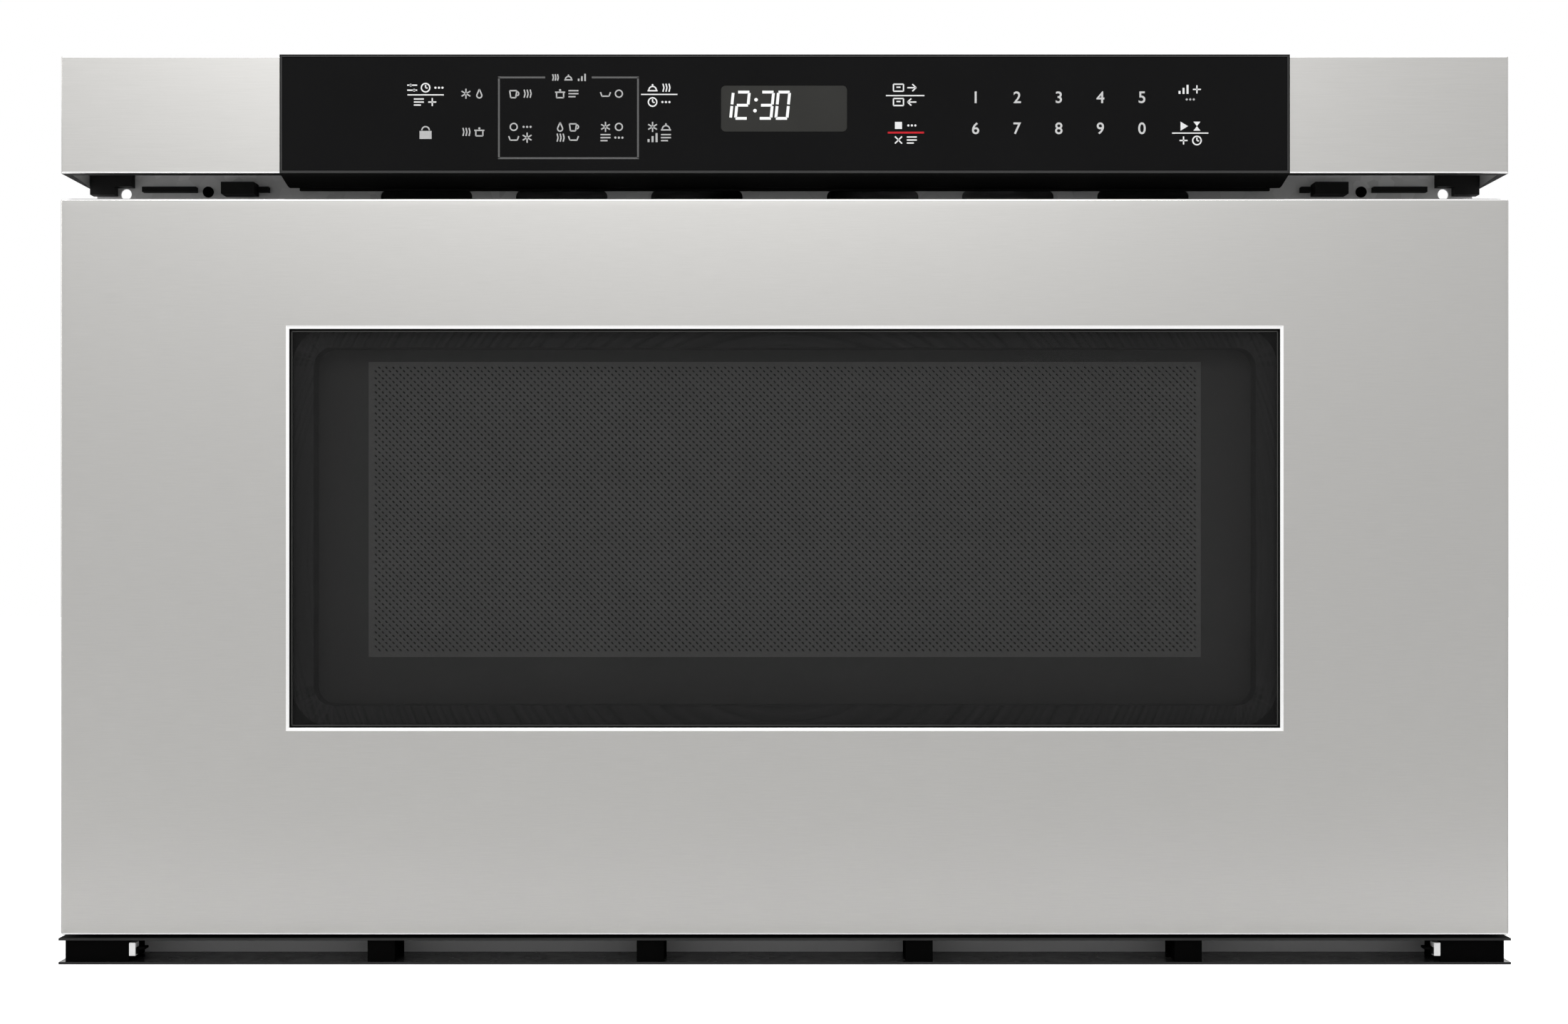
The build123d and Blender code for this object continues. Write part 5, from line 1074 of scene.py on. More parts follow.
class Mark(Enum):
    """Plain signs on the touch keys, as strokes between -1 and 1: bars, rings, dots and filled shapes."""

    FLAKE = (("bar", 0, -1, 0, 1), ("bar", -0.87, -0.5, 0.87, 0.5), ("bar", -0.87, 0.5, 0.87, -0.5))
    DROP = (("ring", 0, -0.35, 0.5, 150, 240), ("bar", -0.43, -0.1, 0, 0.9), ("bar", 0.43, -0.1, 0, 0.9))
    FORWARD = (("bar", -0.9, 0, 0.8, 0), ("bar", 0.1, 0.7, 0.85, 0), ("bar", 0.1, -0.7, 0.85, 0))
    BACK = (("bar", 0.9, 0, -0.8, 0), ("bar", -0.1, 0.7, -0.85, 0), ("bar", -0.1, -0.7, -0.85, 0))
    CUP = (("bar", -0.8, 0.6, -0.6, -0.8), ("bar", -0.6, -0.8, 0.4, -0.8), ("bar", 0.4, -0.8, 0.6, 0.6),
           ("bar", -0.8, 0.6, 0.6, 0.6), ("ring", 0.6, 0, 0.4, -80, 160))
    POT = (("bar", -0.7, 0.2, -0.7, -0.8), ("bar", -0.7, -0.8, 0.7, -0.8), ("bar", 0.7, -0.8, 0.7, 0.2),
           ("bar", -1, 0.3, 1, 0.3), ("dot", 0, 0.7, 0.22))
    PLATE = (("bar", -1, -0.6, 1, -0.6), ("ring", 0, -0.5, 0.75, 0, 180), ("dot", 0, 0.55, 0.18))
    STEAM = (("bar", -0.6, -0.8, -0.4, 0), ("bar", -0.4, 0, -0.6, 0.8), ("bar", 0, -0.8, 0.2, 0),
             ("bar", 0.2, 0, 0, 0.8), ("bar", 0.6, -0.8, 0.8, 0), ("bar", 0.8, 0, 0.6, 0.8))
    TRAY = (("bar", -1, 0.3, -0.7, -0.5), ("bar", -0.7, -0.5, 0.7, -0.5), ("bar", 0.7, -0.5, 1, 0.3))
    OVAL = (("ring", 0, 0, 0.7, 0, 360),)
    CLOCK = (("ring", 0, 0, 0.85, 0, 360), ("bar", 0, 0, 0, 0.55), ("bar", 0, 0, 0.4, -0.1))
    GLASS = (("fill", (-0.7, 0.9), (0, 0), (0.7, 0.9)), ("fill", (-0.7, -0.9), (0.7, -0.9), (0, 0)))
    PLAY = (("fill", (-0.6, -0.9), (0.9, 0), (-0.6, 0.9)),)
    SQUARE = (("fill", (-0.7, -0.7), (0.7, -0.7), (0.7, 0.7), (-0.7, 0.7)),)
    CROSS = (("bar", -0.7, -0.7, 0.7, 0.7), ("bar", -0.7, 0.7, 0.7, -0.7))
    PLUS = (("bar", -0.8, 0, 0.8, 0), ("bar", 0, -0.8, 0, 0.8))
    LEVELS = (("fill", (-1, -0.9), (-0.6, -0.9), (-0.6, -0.3), (-1, -0.3)),
              ("fill", (-0.2, -0.9), (0.2, -0.9), (0.2, 0.3), (-0.2, 0.3)),
              ("fill", (0.6, -0.9), (1, -0.9), (1, 0.9), (0.6, 0.9)))
    SLIDERS = (("bar", -1, 0.5, 1, 0.5), ("dot", -0.3, 0.5, 0.28), ("bar", -1, -0.5, 1, -0.5),
               ("dot", 0.4, -0.5, 0.28))
    DOTS = (("dot", -0.7, 0, 0.22), ("dot", 0, 0, 0.22), ("dot", 0.7, 0, 0.22))
    LINES = (("bar", -1, 0.6, 1, 0.6), ("bar", -1, 0, 1, 0), ("bar", -1, -0.6, 0.4, -0.6))
    DRAWER = (("bar", -1, 0.7, 1, 0.7), ("bar", -1, 0.7, -1, -0.7), ("bar", 1, 0.7, 1, -0.7),
              ("bar", -1, -0.7, 1, -0.7), ("bar", -0.4, 0.1, 0.4, 0.1))
    PADLOCK = (("fill", (-1.2, -1.4), (1.2, -1.4), (1.2, 0.2), (-1.2, 0.2)), ("ring", 0, 0.3, 0.75, 0, 180))


# Middles of the keys' signs in millimetres, their signs, and whether they are bright.
LEGENDS = (
    (-150.3, 367.1, (Mark.SLIDERS, Mark.CLOCK, Mark.DOTS), True),
    (-150.3, 361.1, (Mark.LINES, Mark.PLUS), True),
    (-150.3, 348.6, (Mark.PADLOCK,), False),
    (-130.6, 364.6, (Mark.FLAKE, Mark.DROP), False),
    (-130.6, 348.6, (Mark.STEAM, Mark.POT), False),
    (-110.6, 364.6, (Mark.CUP, Mark.STEAM), False),
    (-91.2, 364.6, (Mark.POT, Mark.LINES), False),
    (-72.2, 364.6, (Mark.TRAY, Mark.OVAL), False),
    (-110.6, 350.7, (Mark.OVAL, Mark.DOTS), False),
    (-110.6, 346.2, (Mark.TRAY, Mark.FLAKE), False),
    (-91.2, 350.7, (Mark.DROP, Mark.CUP), False),
    (-91.2, 346.2, (Mark.STEAM, Mark.TRAY), False),
    (-72.2, 350.7, (Mark.FLAKE, Mark.OVAL), False),
    (-72.2, 346.2, (Mark.LINES, Mark.DOTS), False),
    (-52.5, 367.1, (Mark.PLATE, Mark.STEAM), True),
    (-52.5, 361.1, (Mark.CLOCK, Mark.DOTS), True),
    (-52.5, 350.7, (Mark.FLAKE, Mark.PLATE), False),
    (-52.5, 346.2, (Mark.LEVELS, Mark.LINES), False),
    (50.4, 367.1, (Mark.DRAWER, Mark.FORWARD), True),
    (50.4, 361.1, (Mark.DRAWER, Mark.BACK), True),
    (50.4, 351.3, (Mark.SQUARE, Mark.DOTS), True),
    (50.4, 345.2, (Mark.CROSS, Mark.LINES), True),
    (169.7, 366.4, (Mark.LEVELS, Mark.PLUS), True),
    (169.7, 362.2, (Mark.DOTS,), False),
    (169.7, 351.0, (Mark.PLAY, Mark.GLASS), True),
    (169.7, 345.0, (Mark.PLUS, Mark.CLOCK), True),
)
# Middle of each line under the keys, and its width, in millimetres.
UNDERLINES = ((-150.3, 364.1, 15.2), (-52.5, 364.3, 15.2), (50.4, 363.8, 16.1), (169.7, 348.1, 15.2))
RED_LINE = (50.7, 348.3, 15.2)
KEY_BOX = ((-119.6, 337.6), (-61.4, 371.4))
KEY_BOX_GAP = 19.5
LIT_BARS = {"1": "bc", "2": "abged", "3": "abgcd", "0": "abcdef"}
CLOCK_TIME = "1230"
CLOCK_PLACES = (0.0, 1.0, 2.5, 3.5)  # of its figures, in pitches


@dataclass
class ControlPanel:
    """Black housing with touch glass, printed marks and clock, between two stainless end trims."""

    rims: Pair = (0.45 * MM, 0.65 * MM)  # widths of the outer line, painted shade, and the inner line, painted highlight, round the glass
    wall: float = 2.0 * MM
    glass_depth: float = 3.3 * MM
    chin_depth: float = 17.6 * MM
    chin_drop: float = 3.0 * MM
    chin_width: float = 4.0 * MM
    chin_slope: float = -0.5  # faces whose normal's Z is lower look down and take the painted shade
    edge: float = 0.15 * MM
    bead: Pair = (2.0 * MM, 1.0 * MM)  # depth and height of the black strip under the housing, put there as the chin's painted shadow on the flange
    shadow_strip_edge: float = 0.3 * MM
    trim_fold: float = 0.7 * MM
    trim_sheet: float = 1.0 * MM
    trim_lip: float = 5.6 * MM  # return of the end caps' lower front edge
    stroke: float = 0.55 * MM
    line: float = 0.75 * MM  # width of the lines round and under the keys
    underline: float = 0.5 * MM
    mark_size: float = 4.2 * MM
    mark_pitch: float = 5.6 * MM
    box_mark: float = 0.8  # size of the signs in the key box's gap, to the others
    clock_height: float = 11.0 * MM
    clock_width: float = 4.7 * MM
    clock_line: float = 1.15 * MM
    clock_pitch: float = 6.75 * MM
    clock_slant: float = 0.10
    clock_gap: float = 0.35 * MM  # between the bars of a figure
    colon_place: float = 2.1  # in pitches
    colon_shift: float = 0.4 * MM
    colon_rise: float = 1 / 2.4  # of half the figures' height
    colon_dot: float = 0.75 * MM
    clock_x: float = -13.3 * MM
    clock_z: float = 359.8 * MM
    figure_height: float = 4.9 * MM
    figure_pitch: float = 17.4 * MM
    figure_x: float = 79.9 * MM  # middle of the figure 1
    figure_rows: Pair = (363.1 * MM, 350.1 * MM)

    def housing(self) -> Object:
        """The moulded housing, with its chin, glass recess and hollow back."""
        low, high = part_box("panel_housing")
        sill = low.z + self.chin_drop
        chin_y = low.y + self.chin_depth
        section = (
            (low.y, sill), (chin_y, low.z), (chin_y + self.chin_width, low.z),
            (chin_y + self.chin_width, sill), (high.y, sill), (high.y, high.z), (low.y, high.z),
        )
        mesh = along_x(section, low.x, high.x)
        pane = facing(mesh, (0, -1, 0))[0]
        # The outer line takes the darker copy of the plastic as painted shade; the inner line and the sill
        # take the lighter copy as painted highlight.
        for finish, width in zip((2, 1), self.rims):
            before = set(mesh.faces)
            pane = push(mesh, pane, width, 0.0)
            for face in set(mesh.faces) - before:
                at_sill = face.calc_center_median().z < sill + width
                face.material_index = 1 if at_sill else finish
        pane.material_index = 0
        push(mesh, pane, 0.0, self.glass_depth)
        hollow = high.y - low.y - self.glass_depth - self.wall
        back = largest(facing(mesh, (0, 1, 0)))
        push(mesh, push(mesh, back, self.wall, 0.0), 0.0, hollow)
        mesh.normal_update()
        # Down-facing faces take the darker copy of the plastic as painted shade.
        for face in mesh.faces:
            if face.normal.z < self.chin_slope:
                face.material_index = 2
        finishes = Palette.black_plastic, Palette.rim_painted_highlight, Palette.shaded_black
        return Piece("panel_shell", "chassis", finishes, "black_plastic", ("panel_housing",),
                     edge=self.edge, edge_steps=3).make(mesh)

    def chin_shadow_strip(self) -> Object:
        """A black rubber strip in the corner of the housing's underside and the flange, put there as the
        chin's painted shadow on the flange.
        """
        low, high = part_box("panel_housing")
        deep, tall = self.bead
        sill = low.z + self.chin_drop
        bead = block(Vector((low.x, high.y - deep, sill - tall)), Vector((high.x, high.y, sill)))
        return Piece("panel_shadow_strip", "chassis", (Palette.rubber,), "black_rubber",
                     edge=self.shadow_strip_edge).make(bead)

    def end_trim(self, side: Side) -> Object:
        """A folded end cap: front, top, outer side and a lip turned under.

        Args:
            side: which end of the panel.

        Returns:
            The piece.
        """
        node = side.node("end_trim")
        mesh = block(*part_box(node))
        for away in ((0, 1, 0), (-side.value, 0, 0)):
            drop(mesh, facing(mesh, away))
        base = facing(mesh, (0, 0, -1))[0]
        front = facing(mesh, (0, -1, 0))[0]
        folds = [edge for edge in mesh.edges if not edge.is_boundary
                 and (base not in edge.link_faces or front in edge.link_faces)]
        # Folds that face up or down take the near-white copy of the stainless as a painted highlight.
        for face in soften(mesh, folds, self.trim_fold):
            if abs(face.normal.z) > abs(face.normal.x):
                face.material_index = 1
        lip_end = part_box(node)[0].y + self.trim_lip
        cut(mesh, facing(mesh, (0, 0, -1)), (0, lip_end, 0), (0, 1, 0))
        lips = facing(mesh, (0, 0, -1))
        drop(mesh, [face for face in lips if face.calc_center_median().y > lip_end])
        # The lip faces down and takes near black as painted shade.
        for face in facing(mesh, (0, 0, -1)):
            face.material_index = 2
        # The caps' hidden side takes the pale lining as a painted reflection of the lit flange.
        finishes = Palette.stainless, Palette.polished, Palette.cut_edge, Palette.trim_lining
        return Piece(side.node("end_cap"), "chassis", finishes, "stainless", (node,),
                     sheet=self.trim_sheet, rim=2, inside=3).make(mesh)

    def clock(self) -> Object:
        """The clock's lit figures, 12:30, in slanted bars."""
        lens_low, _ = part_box("display_window")
        drawing = Strokes(lens_low.y - HAIR)
        start = self.clock_x - 2 * self.clock_pitch

        def lean(x: float, z: float) -> Pair:
            """A point of the slanted clock."""
            return (x + self.clock_slant * z, self.clock_z + z)

        half, gap = self.clock_height / 2, self.clock_gap
        for place, figure in zip(CLOCK_PLACES, CLOCK_TIME):
            x0 = start + place * self.clock_pitch
            x1 = x0 + self.clock_width
            bars = {
                "a": ((x0, half), (x1, half)), "g": ((x0, 0), (x1, 0)), "d": ((x0, -half), (x1, -half)),
                "b": ((x1, half - gap), (x1, gap)), "c": ((x1, -gap), (x1, gap - half)),
                "f": ((x0, half - gap), (x0, gap)), "e": ((x0, -gap), (x0, gap - half)),
            }
            for letter in LIT_BARS[figure]:
                first, last = bars[letter]
                drawing.bar(lean(*first), lean(*last), self.clock_line)
        colon_x = start + self.colon_place * self.clock_pitch + self.colon_shift
        for z in (-half * self.colon_rise, half * self.colon_rise):
            drawing.dot(lean(colon_x, z), self.colon_dot)
        return drawing.print("clock_figures", Palette.clock_light, "display")

    def figures(self) -> Object:
        """The ten number keys."""
        glass_low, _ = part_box("control_glass")
        drawing = Strokes(glass_low.y - HAIR / 2)
        for row, letters in zip(self.figure_rows, ("12345", "67890")):
            for column, letter in enumerate(letters):
                drawing.text(letter, (self.figure_x + column * self.figure_pitch, row), self.figure_height)
        return drawing.print("number_keys", Palette.print_digit, "white_plastic")

    def legends(self) -> None:
        """Pictograms of the touch keys, and the lines under and round them."""
        glass_low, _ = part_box("control_glass")
        depth = glass_low.y - HAIR / 2
        bright, grey, lines, red = (Strokes(depth) for _ in range(4))
        for x, z, marks, strong in LEGENDS:
            ink = bright if strong else grey
            for index, mark in enumerate(marks):
                along = (index - (len(marks) - 1) / 2) * self.mark_pitch
                ink.pictogram(mark, ((x * MM) + along, z * MM), self.mark_size, self.stroke)
        for x, z, width in UNDERLINES:
            bright.bar(((x - width / 2) * MM, z * MM), ((x + width / 2) * MM, z * MM), self.underline)
        x, z, width = RED_LINE
        red.bar(((x - width / 2) * MM, z * MM), ((x + width / 2) * MM, z * MM), self.line)
        (left, low), (right, high) = KEY_BOX
        middle, half_gap = (left + right) / 2, KEY_BOX_GAP / 2
        lines.frame((left * MM, low * MM), (right * MM, high * MM), self.line,
                    ((middle - half_gap) * MM, (middle + half_gap) * MM))
        for index, mark in enumerate((Mark.STEAM, Mark.PLATE, Mark.LEVELS)):
            grey.pictogram(mark, (middle * MM + (index - 1) * self.mark_pitch, high * MM),
                           self.mark_size * self.box_mark, self.stroke)
        bright.print("legends_bright", Palette.print_bright, "white_plastic")
        grey.print("legends_grey", Palette.print_grey, "white_plastic")
        lines.print("key_box", Palette.print_line, "white_plastic")
        red.print("stop_line", Palette.print_red, "white_plastic")

    def build(self, nodes: Nodes) -> None:
        """Makes the panel's new pieces and dresses its nodes.

        Args:
            nodes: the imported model's nodes by name.
        """
        self.housing()
        self.chin_shadow_strip()
        for side in Side:
            self.end_trim(side)
        self.clock()
        self.figures()
        self.legends()
        dress(nodes, Palette.touch_glass, "control_glass")
        dress(nodes, Palette.display, "display_window")
        dress(nodes, Palette.board, "control_board")
        dress(nodes, Palette.rubber, "panel_seals", "panel_brackets")


# ---- Cabinet -------------------------------------------------------------------------------------


@dataclass
class Cabinet:
    """Outer sheets, flange and lower trim."""

    fold_radius: float = 2.5 * MM
    sheet: float = 1.0 * MM
    vent_width: float = 44.0 * MM
    vent_height: float = 4.0 * MM
    vent_pitch: float = 10.0 * MM
    vent_rows: int = 8
    vent_drop: float = 40.0 * MM  # lowest slot below the fan's axis
    vent_most: float = 1.01  # share of a slot's area up to which a face is a slot
    fold_steps: int = 5
    channel_edge: float = 0.15 * MM
    clip_edge: float = 0.2 * MM
    clip_x: Pair = (272.2, 274.9)  # clip and hook of the lower trim, in millimetres
    clip_z: Pair = (3.4, 8.9)
    clip_depth: float = 6.0 * MM
    hook_x: Pair = (268.2, 271.4)
    hook_z: Pair = (6.6, 4.2)
    hook_line: float = 0.9 * MM

    def wrap(self) -> Object:
        """Sides and top folded from one sheet, with side vents."""
        mesh = block(*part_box("cabinet_wrap"))
        for away in ((0, 0, -1), (0, 1, 0), (0, -1, 0)):
            drop(mesh, facing(mesh, away))
        folds = [edge for edge in mesh.edges if not edge.is_boundary]
        soften(mesh, folds, self.fold_radius, self.fold_steps)
        fan_y, fan_z = middle_of("cooling_fan").y, middle_of("fan_motor").z
        front, back = fan_y - self.vent_width / 2, fan_y + self.vent_width / 2
        sides = (-1, 0, 0), (1, 0, 0)

        def strip(side: Triple) -> list[Face]:
            """The faces of a side between the slots' ends."""
            return [face for face in facing(mesh, side) if front < face.calc_center_median().y < back]

        for edge_y in (front, back):
            for side in sides:
                cut(mesh, facing(mesh, side), (0, edge_y, 0), (0, 1, 0))
        for row in range(self.vent_rows):
            z = fan_z - self.vent_drop + row * self.vent_pitch
            for side in sides:
                for edge_z in (z, z + self.vent_height):
                    cut(mesh, strip(side), (0, 0, edge_z), (0, 0, 1))
        most = self.vent_most * self.vent_width * self.vent_height
        drop(mesh, [face for side in sides for face in strip(side) if face.calc_area() < most])
        finishes = Palette.galvanised, Palette.dull_zinc
        return Piece("outer_wrap", "chassis", finishes, "galvanised", ("cabinet_wrap",), sheet=self.sheet,
                     inside=1).make(mesh)

    def channel(self) -> Object:
        """The lower trim: two black flanges on a web painted grey as a painted reflection of the bright
        surround; the lower flange's top takes a glossier, darker copy of the paint as painted sheen.
        """
        low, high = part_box("lower_trim")
        web_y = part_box("trim_spacers")[1].y
        sheet = self.sheet
        section = (
            (low.y, low.z), (high.y, low.z), (high.y, low.z + sheet), (web_y + sheet, low.z + sheet),
            (web_y + sheet, high.z), (low.y, high.z), (low.y, high.z - sheet), (web_y, high.z - sheet),
            (web_y, low.z + sheet), (low.y, low.z + sheet),
        )
        mesh = along_x(section, low.x, high.x)
        # The web's front takes grey as a painted reflection.
        largest(facing(mesh, (0, -1, 0))).material_index = 1
        # The lower flange's front top takes the glossier copy of the paint as painted sheen.
        min(facing(mesh, (0, 0, 1)), key=lambda face: face.calc_center_median().y).material_index = 2
        finishes = Palette.trim_black, Palette.trim_web, Palette.flange_top_sheen
        return Piece("lower_channel", "chassis", finishes, "black_steel", ("lower_trim",),
                     edge=self.channel_edge).make(mesh)

    def trim_clips(self) -> None:
        """A pale clip and a black hook beside each end block of the lower trim."""
        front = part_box("trim_spacers")[0].y
        for side in Side:
            x = sorted(side.value * edge * MM for edge in self.clip_x)
            clip = block(Vector((x[0], front, self.clip_z[0] * MM)),
                         Vector((x[1], front + self.clip_depth, self.clip_z[1] * MM)))
            Piece(side.node("trim_clip"), "chassis", (Palette.print_bright,), "white_plastic",
                  edge=self.clip_edge).make(clip)
            hook = Strokes(front)
            inner, outer = (side.value * edge * MM for edge in self.hook_x)
            top, tip = (z * MM for z in self.hook_z)
            hook.bar((inner, top), (outer, top), self.hook_line)
            hook.bar((outer, top + self.hook_line / 2), (outer, tip), self.hook_line)
            hook.solid(side.node("trim_hook"), Palette.deep_black, "black_plastic", self.clip_depth)

    def build(self, nodes: Nodes) -> None:
        """Makes the wrap and the clips and dresses the other sheets.

        Args:
            nodes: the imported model's nodes by name.
        """
        self.wrap()
        self.channel()
        self.trim_clips()
        dress(nodes, Palette.galvanised, "base_plate", "rear_panel")
        # The front frame takes the near-white copy of the galvanised sheet as painted light for the shaded
        # gap.
        dress(nodes, Palette.lit_flange, "front_frame")
        dress(nodes, Palette.rubber, "cord_gland")
        dress(nodes, Palette.deep_black, "trim_spacers")


@dataclass
class Screws:
    """Domed screws with cross recesses, in the places of the plain ones."""

    shank_radius: float = 2.0 * MM
    head_radius: float = 4.0 * MM
    head_height: float = 1.8 * MM
    rings: tuple[Pair, ...] = ((0.62, 1.0), (0.86, 0.78), (0.98, 0.42), (1.0, 0.0))  # radius and height
    steps: int = 24
    arm: float = 0.46  # of the head's radius
    half_arm: float = 0.11
    recess: float = 0.55  # of the head's height
    small_head: Triple = (0.6, 0.6, 1.0)  # of the screws on the flange, to the others
    beyond_shank: float = 1.5  # a corner further out, in shank radii, is on the head

    def places(self, node: Object) -> list[tuple[Vector, Vector, float]]:
        """Where the screws of a node sit.

        Args:
            node: a node whose solids are screws.

        Returns:
            The middle of each seat, the way its head looks, and the length of its shank.
        """
        mesh = bmesh.new()
        mesh.from_mesh(node.data)
        mesh.transform(node.matrix_world)
        bmesh.ops.remove_doubles(mesh, verts=mesh.verts, dist=WELD)
        left, found = set(mesh.verts), []
        while left:
            island, edge = set(), [left.pop()]
            while edge:
                vert = edge.pop()
                island.add(vert)
                edge += [other for link in vert.link_edges if (other := link.other_vert(vert)) in left]
                left.difference_update(edge)
            found.append(self.seat([vert.co for vert in island]))
        mesh.free()
        return found

    def seat(self, points: list[Vector]) -> tuple[Vector, Vector, float]:
        """Seat, direction and shank length of one screw from its corners.

        Args:
            points: the corners of the screw's solid.

        Returns:
            The middle of the seat, the way the head looks, and the shank's length.
        """
        low, high = (Vector(map(end, zip(*points))) for end in (min, max))
        middle, size = (low + high) / 2, high - low
        axis = max(range(3), key=lambda index: size[index])
        wide = [point for point in points if (point - middle).length_squared
                - (point[axis] - middle[axis]) ** 2 > (self.shank_radius * self.beyond_shank) ** 2]
        way = Vector()
        way[axis] = math.copysign(1.0, sum(point[axis] - middle[axis] for point in wide))
        length = size[axis] - self.head_height
        return middle + way * (size[axis] / 2 - self.head_height), way, length

    def head(self, mesh: Mesh) -> None:
        """Adds a head that looks along +Z, with its seat at the origin.

        Args:
            mesh: the mesh in the making.
        """
        arm, half = self.arm * self.head_radius, self.half_arm * self.head_radius
        quarter = ((arm, -half), (arm, half), (half, half))
        cross = self.loop(mesh, [Matrix.Rotation(turn * math.pi / 2, 2) @ Vector(point)
                                 for turn in range(4) for point in quarter])
        radius, _ = self.rings[0]
        circle = self.loop(mesh, [Matrix.Rotation(step * math.tau / self.steps, 2)
                                  @ Vector((radius * self.head_radius, 0.0)) for step in range(self.steps)])
        bmesh.ops.triangle_fill(mesh, edges=cross + circle, use_beauty=True)
        for (before, _), (after, height) in zip(self.rings, self.rings[1:]):
            circle, verts = self.pull(mesh, circle)
            bmesh.ops.scale(mesh, vec=(after / before, after / before, 1.0), verts=verts)
            for vert in verts:
                vert.co.z = height * self.head_height
        cross, verts = self.pull(mesh, cross)
        bmesh.ops.translate(mesh, vec=(0.0, 0.0, -self.recess * self.head_height), verts=verts)
        bmesh.ops.contextual_create(mesh, geom=cross)
        bmesh.ops.contextual_create(mesh, geom=circle)

    def loop(self, mesh: Mesh, points: list[Vector]) -> list[Edge]:
        """A closed line at the height of the head's top."""
        verts = [mesh.verts.new((*point, self.head_height)) for point in points]
        return [mesh.edges.new(pair) for pair in zip(verts, verts[1:] + verts[:1])]

    def pull(self, mesh: Mesh, edges: list[Edge]) -> tuple[list[Edge], list[Vert]]:
        """Grows a strip of faces from a line and gives its far edges and corners."""
        made = bmesh.ops.extrude_edge_only(mesh, edges=edges)["geom"]
        return ([part for part in made if isinstance(part, Edge)],
                [part for part in made if isinstance(part, Vert)])

    def replace(
        self, node: Object, name: str, body: str, finishes: tuple[Finish, ...], dark_y: float
    ) -> Object:
        """Makes the screws of one node.

        Args:
            node: the node.
            name: name of the new piece.
            body: what it rides on.
            finishes: the common finish, and the one of the screws on the flange.
            dark_y: screws whose seat lies in front of this take the second finish.

        Returns:
            The new piece.
        """
        mesh = bmesh.new()
        for seat, way, length in self.places(node):
            screw = bmesh.new()
            self.head(screw)
            dark = seat.y < dark_y and len(finishes) > 1
            if dark:
                bmesh.ops.scale(screw, vec=self.small_head, verts=screw.verts)
            shank = Matrix.Translation((0.0, 0.0, -length / 2))
            bmesh.ops.create_cone(screw, cap_ends=True, segments=self.steps, radius1=self.shank_radius,
                                  radius2=self.shank_radius, depth=length, matrix=shank)
            bmesh.ops.recalc_face_normals(screw, faces=screw.faces)
            screw.transform(Matrix.Translation(seat) @ way.to_track_quat("Z", "Y").to_matrix().to_4x4())
            for face in screw.faces:
                face.material_index = int(dark)
            part = bpy.data.meshes.new("screw")
            screw.to_mesh(part)
            screw.free()
            mesh.from_mesh(part)
            bpy.data.meshes.remove(part)
        return Piece(name, body, finishes, "zinc_steel", (node.name,), smooth_angle=40.0).make(mesh)

    def build(self, nodes: Nodes) -> None:
        """Makes the screws of the housing and of the door.

        Args:
            nodes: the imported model's nodes by name.
        """
        flange_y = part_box("front_frame")[1].y
        both = Palette.zinc, Palette.deep_black
        self.replace(nodes["chassis_screws"], "housing_screws", "chassis", both, flange_y)
        self.replace(nodes["door_screws"], "arm_screws", "drawer", (Palette.zinc,), flange_y)


# ---- Drawer and drive ----------------------------------------------------------------------------


